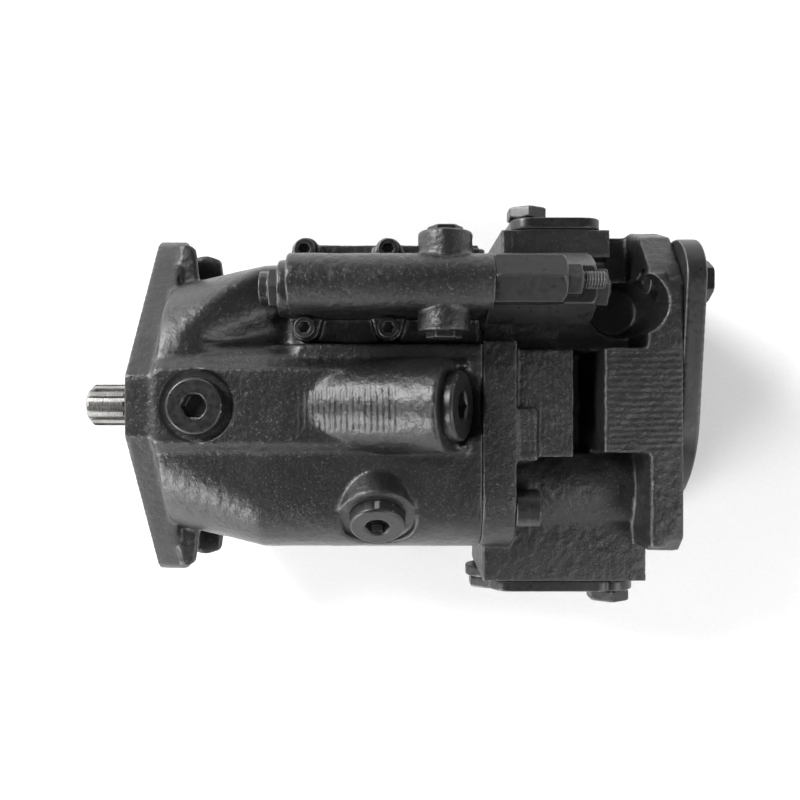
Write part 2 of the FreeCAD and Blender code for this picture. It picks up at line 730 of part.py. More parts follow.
drain_seat = dim("spine_height") - 1.5
root_half = math.sqrt(0.5)
side_seat = dim("side_plug_seat")
nodes["drain_plugs"] = group("drain_plugs", [
    socket_plug("drain_plug_upper", DIMENSIONS["drain_head"], DIMENSIONS["drain_head_thick"],
                DIMENSIONS["drain_thread"] - 0.05, 13.0, 10.0, Rotation(), x=dim("drain_x"), z=drain_seat),
    socket_plug("drain_plug_side", DIMENSIONS["drain_head"], DIMENSIONS["drain_head_thick"],
                DIMENSIONS["drain_thread"] - 0.05, 13.0, 10.0, SIDEWAYS, x=dim("side_plug_x"),
                y=side_seat * -root_half, z=side_seat * root_half),
])
nodes["stroking_cylinder_plug"] = socket_plug("stroking_cylinder_plug", DIMENSIONS["stroke_plug_head"], 5.5,
                                              10.95, 12.0, 12.0, SLANTED, **along_slant(5.5))


def seal_rings():
    """O-rings under the plug heads, in the split face and round the rear cover's spigot."""
    side_ring = side_seat - 1.0
    return [
        ring("drain_ring", 10.15, 0.95, x=dim("drain_x"), z=drain_seat - 1.0, turn=Rotation()),
        ring("side_ring", 10.15, 0.95, x=dim("side_plug_x"), y=side_ring * -root_half,
             z=side_ring * root_half, turn=SIDEWAYS),
        ring("stroke_ring", 12.2, 0.95, turn=SLANTED, **along_slant(6.55)),
        ring("split_ring", 46.6, 0.92, x=split + 0.95),
        ring("cover_ring", 49.6, 1.1, x=dim("rear_face") - 3.0),
    ]


nodes["seal_rings"] = group("seal_rings", seal_rings())

port_screws = []
for number, (y, z) in enumerate(PORT_SCREWS, start=1):
    port_screws.append(socket_screw("port_screw_%d" % number, 6.0, 9.0, 12.0, 35.0, 10.0,
                                    x=dim("flange_rear"), y=y, z=z, turn=ALONG_X))
nodes["port_plate_screws"] = group("port_plate_screws", port_screws)

# ----------------------------------------------------------------------------------------------------------
# Shaft, bearings, seal
# ----------------------------------------------------------------------------------------------------------
def make_shaft():
    """The drive shaft with its nose spline, block spline and plain tail."""
    nose = -dim("shaft_nose")
    tip = dim("spline_tip")
    profile = [
        (nose, 0.0), (nose, tip - 2.6), (nose + 2.6, tip), (nose + dim("spline_length"), tip),
        (nose + dim("spline_length"), tip - 1.4), (nose + dim("spline_length") + 3.0, tip - 1.4),
        (nose + dim("spline_length") + 4.5, dim("shaft_radius")), (11.0, dim("shaft_radius")),
        (11.0, dim("bearing_seat")), (30.0, dim("bearing_seat")), (30.0, 18.0), (34.0, 18.0),
        (36.0, dim("shaft_radius")), (176.0, dim("shaft_radius")), (176.0, dim("tail_radius")),
        (194.0, dim("tail_radius")), (194.0, 8.0), (213.0, 8.0), (214.0, 7.0), (214.0, 0.0),
    ]
    blank = turned("shaft_blank", profile)
    spaces = []
    for tooth in range(SPLINE_TEETH):
        turn = Rotation(Vector(1, 0, 0), DIMENSIONS["spline_phase"] + 360.0 * tooth / SPLINE_TEETH)
        space = new_body("spline_space")
        sketch = new_sketch(space, "spline_space_outline", "YZ_Plane", nose - 1.0)
        polygon(sketch, [
            (-0.95, dim("spline_root")), (0.95, dim("spline_root")), (1.85, tip + 1.0), (-1.85, tip + 1.0),
        ])
        pad(space, "spline_space_pad", sketch, dim("spline_length") + 1.0)
        spaces.append(place(space, turn=turn))
    splined = cut("shaft_splined", blank, *spaces)
    return fuse("drive_shaft", splined, *block_keys("block_key", (140.0, 158.0), 1.5, 13.6))


def block_keys(name, x_range, half_width, top):
    """The straight teeth that join shaft and cylinder block, or the roomier slots for them."""
    keys = []
    for number in range(BLOCK_KEYS):
        tooth = block("%s_%d" % (name, number), x_range, (-half_width, half_width), (10.0, top))
        around = Placement(Vector(0, 0, 0), Rotation(Vector(1, 0, 0), 360.0 * number / BLOCK_KEYS))
        tooth.Placement = around.multiply(tooth.Placement)
        keys.append(tooth)
    return keys


nodes["drive_shaft"] = make_shaft()

nodes["shaft_seal"] = turned("shaft_seal", [
    (-4.0, 12.62), (-4.0, 20.95), (3.0, 20.95), (3.0, 18.5), (-2.0, 18.5), (-2.0, 15.2), (2.2, 14.0),
    (2.2, 12.62),
])
nodes["seal_retaining_ring"] = turned("seal_retaining_ring", [
    (-5.6, 17.2), (-5.6, 22.1), (-4.2, 22.1), (-4.2, 17.2),
])


def bearing(name, start, width, inner, outer, rollers, roller_radius):
    """Cup, cone and rollers of a tapered roller bearing whose large end faces the cylinder block."""
    middle = (inner + outer) / 2.0
    rise = width * 0.075
    slope = 2.0 * rise / width
    low = middle - rise
    high = middle + rise
    gap = 0.06
    stretch = math.hypot(1.0, slope)
    cup = turned(name + "_cup", [
        (start, low + (roller_radius + gap) * stretch), (start, outer), (start + width - 2.5, outer),
        (start + width - 2.5, high - 2.5 * slope + (roller_radius + gap) * stretch),
    ])
    inner_ring = turned(name + "_cone", [
        (start, inner), (start, low - (roller_radius + gap) * stretch),
        (start + width, high - (roller_radius + gap) * stretch), (start + width, inner),
    ])
    solids = []
    lean = math.degrees(math.atan(slope))
    for k in range(rollers):
        turn = Rotation(Vector(1, 0, 0), 360.0 * k / rollers) * Rotation(Vector(0, 1, 0), 90.0 - lean)
        angle = math.radians(360.0 * k / rollers)
        radius = low + 2.0 * slope
        solids.append(rod("%s_roller" % name, roller_radius, width - 5.0, x=start + 2.0,
                          y=-radius * math.sin(angle), z=radius * math.cos(angle), turn=turn))
    return cup, inner_ring, solids


front_cup, front_cone, front_rollers = bearing("front", 12.2, 17.25, 15.02, 31.0, 14, 3.6)
rear_cup, rear_cone, rear_rollers = bearing("rear", 179.0, 13.0, 8.52, 20.0, 12, 2.6)
nodes["bearing_cups"] = group("bearing_cups", [front_cup, rear_cup])
# a tapered bearing's cone comes as one assembly with its rollers
nodes["bearing_cones"] = group("bearing_cones", [front_cone, rear_cone] + front_rollers + rear_rollers)

# ----------------------------------------------------------------------------------------------------------
# Swash plate in its cradle
# ----------------------------------------------------------------------------------------------------------


def make_swash_plate():
    """The swash plate: running face, cradle lobes and the two lugs that the control pistons push."""
    face = pivot - dim("swash_face")
    radius = dim("swash_radius")
    disc = rod("swash_disc", radius, 3.5, x=face - 3.5)
    back = cone("swash_back", 34.0, radius, 5.5, x=face - 9.0)
    half = dim("cradle_half_width")
    roll = rod("cradle_roll", dim("cradle_radius"), half * 2, x=pivot, y=-half, turn=ALONG_Y)
    lobe = dim("lobe_half_height")
    box = block("cradle_box", (pivot - 45.0, face - 1.0), (-half, half), (-lobe, lobe))
    middle = block("cradle_middle", (pivot - 50.0, face - 9.0), (-24.5, 24.5), (-45.0, 45.0))
    lobes = cut("cradle_lobes", common("cradle_halves", roll, box), middle)
    inner = pivot - dim("lug_gap")
    upper = prism_along_y("swash_upper_lug", [
        (face - 9.0, 30.0), (face - 7.0, 42.0), (pivot - 8.0, 54.5), (inner, 54.5), (inner, 41.2),
        (face, 41.2), (face - 1.0, 30.0),
    ], 7.0)
    lower = prism_along_y("swash_lower_lug", [
        (face - 1.0, -30.0), (face, -41.2), (inner, -41.2), (inner, -53.5), (pivot - 8.0, -53.5),
        (face - 7.0, -42.0), (face - 9.0, -30.0),
    ], 7.0)
    opening = cone("swash_opening", 25.0, 17.0, 28.0, x=face - 27.9)
    return cut("swash_plate", fuse("swash_solid", disc, back, lobes, upper, lower), opening)


nodes["swash_plate"] = make_swash_plate()


def cradle_shell(name, low_y):
    """One half shell of the cradle bearing: a strip of tube under a cradle lobe."""
    inner = dim("cradle_radius") + 0.1
    outer = dim("cradle_radius") + dim("shell_thick") + 0.1
    tube = cut(name + "_tube", rod(name + "_outer", outer, 14.0, x=pivot, y=low_y, turn=ALONG_Y),
               rod(name + "_inner", inner, 20.0, x=pivot, y=low_y - 3.0, turn=ALONG_Y))
    keep = block(name + "_keep", (pivot - 45.0, pivot - 21.0), (low_y - 1.0, low_y + 15.0),
                 (-dim("seat_limit") + 0.5, dim("seat_limit") - 0.5))
    return common(name, tube, keep)


nodes["cradle_bearings"] = group("cradle_bearings", [
    cradle_shell("shell_right", 25.5),
    cradle_shell("shell_left", -39.5),
])

# ----------------------------------------------------------------------------------------------------------
# Cylinder block and what it carries
# ----------------------------------------------------------------------------------------------------------


def make_cylinder_block():
    """The barrel with one bore for each piston and a splined hole for the shaft."""
    start = dim("block_start")
    end = dim("block_end")
    radius = dim("block_radius")
    blank = turned("block_blank", [
        (start, 12.55), (start, radius - 4.0), (start + 4.0, radius), (end - 1.5, radius),
        (end, radius - 1.5), (end, 12.55),
    ])
    tools = [rod("block_spring_seat", 18.0, 21.0, x=118.0)]
    for k in range(PISTONS):
        y, z = on_circle(dim("piston_circle"), k, PISTONS)
        tools.append(rod("block_bore", dim("bore_radius"), 153.0 - start, x=start, y=y, z=z))
        y, z = on_circle(dim("piston_circle") - 2.0, k, PISTONS)
        tools.append(rod("block_port", 4.2, 20.0, x=150.0, y=y, z=z))
    tools.extend(block_keys("block_key_slot", (138.5, 165.0), 1.55, 13.7))
    return cut("cylinder_block", blank, *tools)


nodes["cylinder_block"] = make_cylinder_block()
nodes["block_spring"] = spring("block_spring", 15.4, 1.1, 5.0, 17.6, 119.7)
nodes["retainer_ball"] = cut(
    "retainer_ball",
    common("retainer_zone", ball("retainer_sphere", dim("retainer_radius"), x=pivot),
           rod("retainer_limits", 25.0, 22.0, x=pivot - 9.0)),
    rod("retainer_bore", 12.6, 60.0, x=pivot - 30.0))


def make_retaining_plate():
    """The plate that holds the slippers down, with a spherical seat on the retainer ball."""
    disc = rod("retaining_disc", dim("plate_radius"), 3.0, x=pivot - 7.6)
    tools = [ball("retaining_seat", dim("retainer_radius") + 0.1, x=pivot)]
    for k in range(PISTONS):
        y, z = on_circle(dim("piston_circle"), k, PISTONS)
        tools.append(rod("retaining_hole", dim("plate_hole"), 12.0, x=pivot - 12.0, y=y, z=z))
    return cut("retaining_plate", disc, *tools)


nodes["retaining_plate"] = make_retaining_plate()


def make_piston(number):
    """A hollow piston with a ball on its front end."""
    name = "piston_%d" % (number + 1)
    head = ball(name + "_ball", dim("ball_radius"))
    neck = rod(name + "_neck", 3.8, 11.0, x=3.0)
    skirt = turned(name + "_skirt", [
        (12.0, 0.0), (12.0, 5.5), (14.0, dim("piston_radius")), (47.0, dim("piston_radius")),
        (48.0, dim("piston_radius") - 1.0), (48.0, 0.0),
    ])
    hollow = rod(name + "_hollow", 4.8, 30.0, x=22.0)
    oil_way = rod(name + "_oil_way", 0.9, 40.0, x=-8.0)
    y, z = on_circle(dim("piston_circle"), number, PISTONS)
    return place(cut(name, fuse(name + "_solid", head, neck, skirt), hollow, oil_way), pivot, y, z)


def make_slipper(number):
    """A slipper: a foot on the swash plate with a socket round the piston's ball."""
    name = "slipper_%d" % (number + 1)
    foot = dim("foot_radius")
    blank = turned(name + "_blank", [
        (-11.0, 0.0), (-11.0, foot - 0.6), (-10.4, foot), (-7.8, foot), (-7.8, 7.2), (-3.6, 7.2), (-2.6, 8.2),
        (2.5, 8.2), (2.5, 0.0),
    ])
    socket = ball(name + "_socket", dim("socket_radius"))
    recess = cone(name + "_recess", 5.5, 4.5, 0.8, x=-11.0)
    way = rod(name + "_way", 0.9, 8.0, x=-11.0)
    y, z = on_circle(dim("piston_circle"), number, PISTONS)
    return place(cut(name, blank, socket, recess, way), pivot, y, z)


for number in range(PISTONS):
    nodes["piston_%d" % (number + 1)] = make_piston(number)
    nodes["slipper_%d" % (number + 1)] = make_slipper(number)


def make_valve_plate():
    """The port timing plate with one kidney slot on the pressure side and one on the suction side."""
    thick = dim("valve_plate_thick")
    disc = rod("valve_disc", dim("block_radius") - 0.5, thick, x=split - thick)
    tools = [rod("valve_centre", 14.0, 20.0, x=155.0)]
    for name, start in (("pressure_kidney", 25.0), ("suction_kidney", 205.0)):
        turn = ALONG_X * Rotation(Vector(0, 0, 1), start)
        outer = rod(name + "_outer", 31.0, 12.0, x=158.0, turn=turn, sweep=130.0)
        inner = rod(name + "_inner", 23.0, 14.0, x=157.0, turn=turn, sweep=360.0)
        tools.append(cut(name, outer, inner))
    return cut("valve_plate", disc, *tools)


nodes["valve_plate"] = make_valve_plate()
nodes["through_drive_coupling"] = turned("through_drive_coupling", [
    (198.0, 8.05), (198.0, 15.0), (199.0, 16.0), (235.0, 16.0), (236.0, 15.0), (236.0, 11.0), (217.0, 11.0),
    (217.0, 8.05),
])

# ----------------------------------------------------------------------------------------------------------
# Swash plate control: stroking piston, bias piston and its spring
# ----------------------------------------------------------------------------------------------------------


def make_stroking_piston():
    """The piston that pushes the upper lug; its X axis runs outwards along the slanted cylinder."""
    tip = ball("stroking_tip", 4.5)
    stem = turned("stroking_stem", [
        (2.0, 0.0), (2.0, 3.6), (10.4, 3.6), (10.4, 6.9), (11.0, 7.54), (22.0, 7.54), (22.6, 6.9),
        (22.6, 0.0),
    ])
    piston = fuse("stroking_piston", tip, stem)
    return place(piston, turn=SLANTED * ALONG_X.inverted(), **along_slant(60.4))


nodes["stroking_piston"] = make_stroking_piston()
bias_tip = ball("bias_tip", 4.5)
bias_stem = turned("bias_stem", [
    (2.0, 0.0), (2.0, 3.4), (16.0, 3.4), (16.0, 6.12), (19.0, 6.12), (19.0, 3.4), (52.0, 3.4), (52.0, 0.0),
])
nodes["bias_piston"] = place(fuse("bias_piston", bias_tip, bias_stem), pivot + 4.0, 0.0, -47.5)
nodes["bias_spring"] = spring("bias_spring", 4.8, 0.75, 12.0, 43.2, 119.8, z=-47.5)

# ----------------------------------------------------------------------------------------------------------
# Control valve: body with two spool bores, plugs, springs, caps and adjusters
# ----------------------------------------------------------------------------------------------------------


def valve_lug(name, x, y, side):
    """A teardrop lug with a boss for one of the fixing screws."""
    boss = rod(name + "_boss", 6.6, 6.0, x=x, y=y, z=dim("pad_height") + 4.0, turn=Rotation())
    web = new_body(name + "_web")
    sketch = new_sketch(web, name + "_outline", "XY_Plane", dim("pad_height") + 4.0)
    inward = y + side * 12.0
    reach = y - side * 2.2
    points = [(x - 6.2, reach), (x + 6.2, reach), (x + 10.0, inward), (x - 10.0, inward)]
    polygon(sketch, points if side > 0 else list(reversed(points)))
    pad(web, name + "_pad", sketch, 6.0)
    return boss, web


def make_valve_body():
    """The valve's casting: foot, lugs, two tubes one above the other and side bosses."""
    foot_base = dim("pad_height") + dim("gasket_thick")
    start = dim("valve_start")
    end = dim("valve_end")
    parts = [
        block("valve_foot", (80.0, 164.0), (29.6, 77.0), (foot_base, 44.6)),
        rod("far_tube_solid", dim("far_tube"), end - 70.0, x=70.0, y=spool_y, z=far_z),
        rod("near_tube_solid", dim("near_tube"), end - start, x=start, y=spool_y - 0.8, z=near_z),
        block("tube_web", (78.0, 164.0), (spool_y - 10.5, spool_y + 9.5), (42.0, near_z)),
        block("valve_shoulder", (78.0, end), (spool_y - 13.5, spool_y + 13.5), (foot_base, far_z)),
        rod("upper_side_boss", 12.0, 21.5, x=146.5, y=spool_y, z=74.0, turn=ALONG_Y),
        rod("lower_side_boss", 11.6, 22.2, x=146.0, y=spool_y, z=74.0, turn=ALONG_MINUS_Y),
        block("boss_root_lower", (136.0, 156.0), (36.0, spool_y), (44.0, 66.0)),
        block("boss_root_upper", (137.0, 156.0), (spool_y, 73.0), (44.0, 66.0)),
        rod("sense_boss", 4.5, 15.0, x=160.0, y=spool_y, z=70.0, turn=ALONG_Y),
    ]
    for number, (x, y) in enumerate(VALVE_SCREWS, start=1):
        parts.extend(valve_lug("lug_%d" % number, x, y, 1 if y < DIMENSIONS["spool_y"] else -1))
    tools = [
        block("valve_base_plane", (60.0, 180.0), (20.0, 90.0), (20.0, foot_base)),
        rod("near_spool_bore", dim("spool_bore"), 100.0, x=70.0, y=spool_y, z=near_z),
        rod("near_spring_room", 8.2, 30.0, x=152.0, y=spool_y, z=near_z),
        rod("near_plug_seat", 8.5, 10.0, x=start - 1.0, y=spool_y, z=near_z),
        rod("far_spool_bore", dim("spool_bore"), 110.0, x=65.0, y=spool_y, z=far_z),
        rod("far_spring_room", 9.2, 30.0, x=152.0, y=spool_y, z=far_z),
        rod("far_plug_seat", 8.0, 15.0, x=69.0, y=spool_y, z=far_z),
        rod("upper_plug_seat", 5.5, 20.0, x=146.5, y=spool_y + 14.0, z=74.0, turn=ALONG_Y),
        rod("lower_plug_seat", 5.5, 20.0, x=146.0, y=spool_y - 14.0, z=74.0, turn=ALONG_MINUS_Y),
    ]
    for x, y in VALVE_SCREWS:
        tools.append(rod("lug_hole", 3.1, 30.0, x=x, y=y, z=35.0, turn=Rotation()))
        tools.append(rod("lug_head_room", 5.5, 12.0, x=x, y=y, z=dim("pad_height") + 10.0, turn=Rotation()))
    return cut("control_valve_body", fuse("valve_solid", *parts), *tools)


nodes["control_valve_body"] = make_valve_body()

valve_screws = []
for number, (x, y) in enumerate(VALVE_SCREWS, start=1):
    valve_screws.append(socket_screw("valve_screw_%d" % number, 3.0, 5.0, 6.0, 15.5, 5.0, x=x, y=y,
                                     z=dim("pad_height") + 10.0, turn=Rotation()))
nodes["control_valve_screws"] = group("control_valve_screws", valve_screws)


def hex_plug(name, flats, thickness, thread, length, turn, **where):
    """A screw plug with an outer hexagon: its origin is under the head, its head on the +Z side."""
    head = hexagon(name + "_head", flats, thickness, turn=Rotation())
    crown = cone(name + "_crown", flats, flats / math.sqrt(3) - 0.8, thickness, turn=Rotation())
    shank = rod(name + "_thread", thread, length + 0.5, z=-length, turn=Rotation())
    return place(fuse(name, common(name + "_cap", head, crown), shank), turn=turn, **where)


far_plug = fuse(
    "far_end_plug",
    hexagon("far_plug_flange", 17.0, 4.4, x=65.6, y=spool_y, z=far_z),
    rod("far_plug_head", 7.9, 4.4, x=61.2, y=spool_y, z=far_z),
    rod("far_plug_thread", 7.95, 12.0, x=69.0, y=spool_y, z=far_z))
near_plug = cut(
    "near_end_plug",
    rod("near_plug_disc", 8.45, 7.0, x=dim("valve_start") + 0.8, y=spool_y, z=near_z),
    hexagon("near_plug_drive", 7.0, 5.0, x=dim("valve_start"), y=spool_y, z=near_z))
nodes["spool_end_plugs"] = group("spool_end_plugs", [near_plug, far_plug])

side_plugs = [
    hex_plug("upper_side_plug", 14.0, 2.6, 5.45, 6.0, ALONG_Y, x=146.5, y=spool_y + 21.5, z=74.0),
    hex_plug("lower_side_plug", 14.0, 2.8, 5.45, 6.0, ALONG_MINUS_Y, x=146.0, y=spool_y - 22.2, z=74.0),
]
nodes["valve_port_plugs"] = group("valve_port_plugs", side_plugs)


def spring_cap(name, flats, start, end, z, room, screw, turn_deg):
    """A hexagonal spring chamber with a chamfered end and a hole for its adjusting screw."""
    length = end - start
    turn = ALONG_X * Rotation(Vector(0, 0, 1), turn_deg)
    prism = hexagon(name + "_prism", flats, length, x=start, y=spool_y, z=z, turn=turn)
    radius = as_size(flats) * (1 / math.sqrt(3))
    ends = turned(name + "_ends", [
        (start, 0.0), (start, radius - 0.9), (start + 1.6, radius + 1.0), (end - 3.2, radius + 1.0),
        (end, radius - 1.7), (end, 0.0),
    ], y=spool_y, z=z)
    tools = [
        rod(name + "_room", room, length - 7.0, x=start, y=spool_y, z=z),
        rod(name + "_thread", screw, 30.0, x=end - 12.0, y=spool_y, z=z),
    ]
    return cut(name, common(name + "_outside", prism, ends), *tools)


nodes["spring_cap_flow"] = spring_cap("spring_cap_flow", dim("near_cap_flats"), dim("valve_end"),
                                      dim("near_cap_end"), near_z, 8.2, 4.04, 0.0)
nodes["spring_cap_pressure"] = spring_cap("spring_cap_pressure", dim("far_cap_flats"), dim("valve_end"),
                                          dim("far_cap_end"), far_z, 10.2, 5.04, 30.0)


def lock_nut(name, flats, thickness, hole, x, z):
    """A chamfered hexagon nut on an adjusting screw."""
    nut = hexagon(name + "_prism", flats, thickness, x=x, y=spool_y, z=z)
    radius = flats / math.sqrt(3)
    limits = turned(name + "_limits", [
        (x, 0.0), (x, radius - 0.7), (x + 1.0, radius + 0.5), (x + thickness - 1.0, radius + 0.5),
        (x + thickness, radius - 0.7), (x + thickness, 0.0),
    ], y=spool_y, z=z)
    return cut(name, common(name + "_outside", nut, limits),
               rod(name + "_hole", hole, thickness + 2.0, x=x - 1.0, y=spool_y, z=z))


nodes["lock_nuts"] = group("lock_nuts", [
    lock_nut("lock_nut_flow", 13.0, 6.8, 4.04, dim("near_cap_end") + 0.3, near_z),
    lock_nut("lock_nut_pressure", 17.0, 6.8, 5.04, dim("far_cap_end") + 0.3, far_z),
])


def adjuster(name, seat_radius, screw_radius, seat_x, end, z):
    """An adjusting screw whose inner end is a seat for the spool spring."""
    blank = turned(name + "_blank", [
        (seat_x, 0.0), (seat_x, seat_radius), (seat_x + 2.0, seat_radius), (seat_x + 2.0, screw_radius),
        (end - 1.0, screw_radius), (end, screw_radius - 1.0), (end, 0.0),
    ], y=spool_y, z=z)
    drive = hexagon(name + "_drive", screw_radius, 4.0, x=end - 3.0, y=spool_y, z=z)
    return cut(name, blank, drive)


nodes["adjuster_flow"] = adjuster("adjuster_flow", 7.4, 4.0, 186.0, dim("near_cap_end") + 18.2, near_z)
nodes["adjuster_pressure"] = adjuster("adjuster_pressure", 9.0, 5.0, 204.0, dim("far_cap_end") + 9.0, far_z)


def make_spool(name, start, end, z):
    """A spool with two lands and a spring guide at its rear end."""
    land = dim("spool_radius")
    waist = 3.4
    return turned(name, [
        (start, 0.0), (start, land), (start + 14.0, land), (start + 14.0, waist), (start + 30.0, waist),
        (start + 30.0, land), (start + 40.0, land), (start + 40.0, waist), (start + 52.0, waist),
        (start + 52.0, land), (end - 4.0, land), (end - 4.0, 4.4), (end, 4.4), (end, 0.0),
    ], y=spool_y, z=z)


nodes["spool_flow"] = make_spool("spool_flow", 90.0, 158.0, near_z)
nodes["spool_pressure"] = make_spool("spool_pressure", 90.0, 158.0, far_z)
nodes["spool_spring_flow"] = spring("spool_spring_flow", 6.4, 0.85, 7.0, 24.0, 158.0 + 1.6, spool_y, near_z)
nodes["spool_spring_pressure"] = spring("spool_spring_pressure", 6.9, 1.0, 8.0, 41.0, 158.0 + 1.9, spool_y,
                                        far_z)

# ----------------------------------------------------------------------------------------------------------
# Covers and gaskets
# ----------------------------------------------------------------------------------------------------------


def corner_slab(name, length, width, thickness, corner, x, y, z, turn):
    """A plate with round corners: its sketch lies in the XY plane before it is turned."""
    body = new_body(name)
    sketch = new_sketch(body, name + "_outline", "XY_Plane")
    rounded_box(sketch, as_size(length) * 0.5, as_size(width) * 0.5, as_size(corner))
    pad(body, name + "_pad", sketch, thickness)
    return place(body, x, y, z, turn)


gasket = dim("gasket_thick")
pressure_cover_y = dim("pressure_face") + gasket
suction_cover_y = -dim("suction_face") - gasket


def pressure_cover():
    """The plate that closes the pressure port."""
    plate = corner_slab("pressure_cover_plate", 44.0, 78.0, dim("cover_thick"), 9.0, dim("pressure_x"),
                        pressure_cover_y, 0.0, ALONG_Y)
    holes = [rod("pressure_cover_hole", 6.2, 20.0, x=dim("pressure_x") + x, y=80.0, z=z, turn=ALONG_Y)
             for x, z in PRESSURE_BOLTS]
    return cut("pressure_port_cover", plate, *holes)


def suction_cover():
    """The plate that closes the suction port, lozenge shaped round its two bolts."""
    middle = corner_slab("suction_cover_middle", 64.0, 56.0, dim("cover_thick"), 10.0, dim("suction_x"),
                         suction_cover_y, 0.0, ALONG_MINUS_Y)
    lugs = []
    for x, z in SUCTION_BOLTS:
        lugs.append(rod("suction_cover_lug", 12.0, dim("cover_thick"), x=dim("suction_x") + x,
                        y=suction_cover_y, z=z, turn=ALONG_MINUS_Y))
    holes = [rod("suction_cover_hole", 6.2, 20.0, x=dim("suction_x") + x, y=-82.0, z=z, turn=ALONG_MINUS_Y)
             for x, z in SUCTION_BOLTS]
    return cut("suction_port_cover", fuse("suction_cover_solid", middle, *lugs), *holes)


nodes["pressure_port_cover"] = pressure_cover()
nodes["suction_port_cover"] = suction_cover()

cover_bolts = []
for number, (x, z) in enumerate(PRESSURE_BOLTS, start=1):
    cover_bolts.append(hex_bolt("pressure_bolt_%d" % number, 6.0, 18.0, 6.0, 17.0, x=dim("pressure_x") + x,
                                y=pressure_cover_y + dim("cover_thick"), z=z, turn=ALONG_Y))
for number, (x, z) in enumerate(SUCTION_BOLTS, start=1):
    cover_bolts.append(hex_bolt("suction_bolt_%d" % number, 6.0, 19.0, 6.0, 19.0, x=dim("suction_x") + x,
                                y=suction_cover_y - dim("cover_thick"), z=z, turn=ALONG_MINUS_Y))
nodes["port_cover_bolts"] = group("port_cover_bolts", cover_bolts)


def flat_gaskets():
    """Gaskets under the control valve and under the two port covers."""
    valve = block("valve_gasket_blank", (80.5, 163.5), (30.0, 76.6),
                  (dim("pad_height"), dim("pad_height") + gasket))
    valve_holes = [rod("valve_gasket_hole", 3.3, 5.0, x=x, y=y, z=38.0, turn=Rotation())
                   for x, y in VALVE_SCREWS]
    pressure = corner_slab("pressure_gasket_blank", 42.0, 74.0, gasket, 8.0, dim("pressure_x"),
                           dim("pressure_face"), 0.0, ALONG_Y)
    pressure_holes = [rod("pressure_gasket_hole", 6.3, 5.0, x=dim("pressure_x") + x, y=84.0, z=z,
                          turn=ALONG_Y) for x, z in PRESSURE_BOLTS]
    suction = corner_slab("suction_gasket_blank", 62.0, 54.0, gasket, 9.0, dim("suction_x"),
                          -dim("suction_face"), 0.0, ALONG_MINUS_Y)
    suction_holes = [rod("suction_gasket_hole", 6.3, 5.0, x=dim("suction_x") + x, y=-85.5, z=z,
                         turn=ALONG_MINUS_Y) for x, z in SUCTION_BOLTS]
    return [
        cut("valve_gasket", valve, *valve_holes),
        cut("pressure_gasket", pressure, *pressure_holes),
        cut("suction_gasket", suction, *suction_holes),
    ]


nodes["flat_gaskets"] = group("flat_gaskets", flat_gaskets())


def make_rear_cover():
    """The two-bolt cover over the through drive, with its spigot and seal groove."""
    thick = dim("rear_cover_thick")
    centre = dim("ear_offset")
    angle = DIMENSIONS["rear_cover_turn"]
    hub = 53.0
    ear = 20.0
    lean = math.acos((hub - ear) / DIMENSIONS["ear_offset"])
    touch = [
        (hub * math.cos(lean), hub * math.sin(lean)),
        (DIMENSIONS["ear_offset"] + ear * math.cos(lean), ear * math.sin(lean)),
    ]
    outline = [touch[1], touch[0]]
    outline += [(-y, z) for y, z in reversed(outline)]
    outline += [(y, -z) for y, z in reversed(outline)]
    plate = prism_along_x("rear_cover_web", outline, 0.0, thick)
    pieces = [plate, rod("rear_cover_hub", hub, thick)]
    for side in (1, -1):
        pieces.append(rod("rear_cover_ear", ear, thick, y=centre * side))
    pieces.append(rod("rear_cover_spigot", dim("pilot_radius") - 0.05, 6.3, x=-5.8))
    groove = cut("spigot_groove", rod("spigot_groove_outer", 52.0, 2.4, x=-4.2),
                 rod("spigot_groove_inner", 48.4, 4.0, x=-5.0))
    tools = [groove, rod("rear_cover_dish", 34.0, 5.0, x=-6.0)]
    for side in (1, -1):
        tools.append(rod("rear_cover_hole", 6.6, 30.0, x=-10.0, y=centre * side))
    cover = cut("rear_cover", fuse("rear_cover_solid", *pieces), *tools)
    return place(cover, dim("rear_face"), turn=Rotation(Vector(1, 0, 0), angle))


nodes["rear_cover"] = make_rear_cover()
rear_cover_bolts = []
for number, (y, z) in enumerate(rear_bolts(), start=1):
    rear_cover_bolts.append(hex_bolt("rear_bolt_%d" % number, 6.0, 18.0, 7.5, 22.0,
                                     x=dim("rear_face") + dim("rear_cover_thick"), y=y, z=z, turn=ALONG_X))
nodes["rear_cover_bolts"] = group("rear_cover_bolts", rear_cover_bolts)

# ----------------------------------------------------------------------------------------------------------
# Check every object, then write one file for each node
# ----------------------------------------------------------------------------------------------------------
doc.recompute()
for item in doc.Objects:
    if "Invalid" in item.State or "Error" in item.State:
        raise RuntimeError("%s is in state %s" % (item.Label, item.State))
for name, item in nodes.items():
    item.Label = name
    if item.Shape.isNull() or not item.Shape.isValid():
        raise RuntimeError("%s has no valid shape" % name)
os.makedirs("parts", exist_ok=True)
for name, item in nodes.items():
    item.Shape.exportStep("parts/%s.step" % name)
print("%d nodes written" % len(nodes))
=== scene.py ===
import json
import math

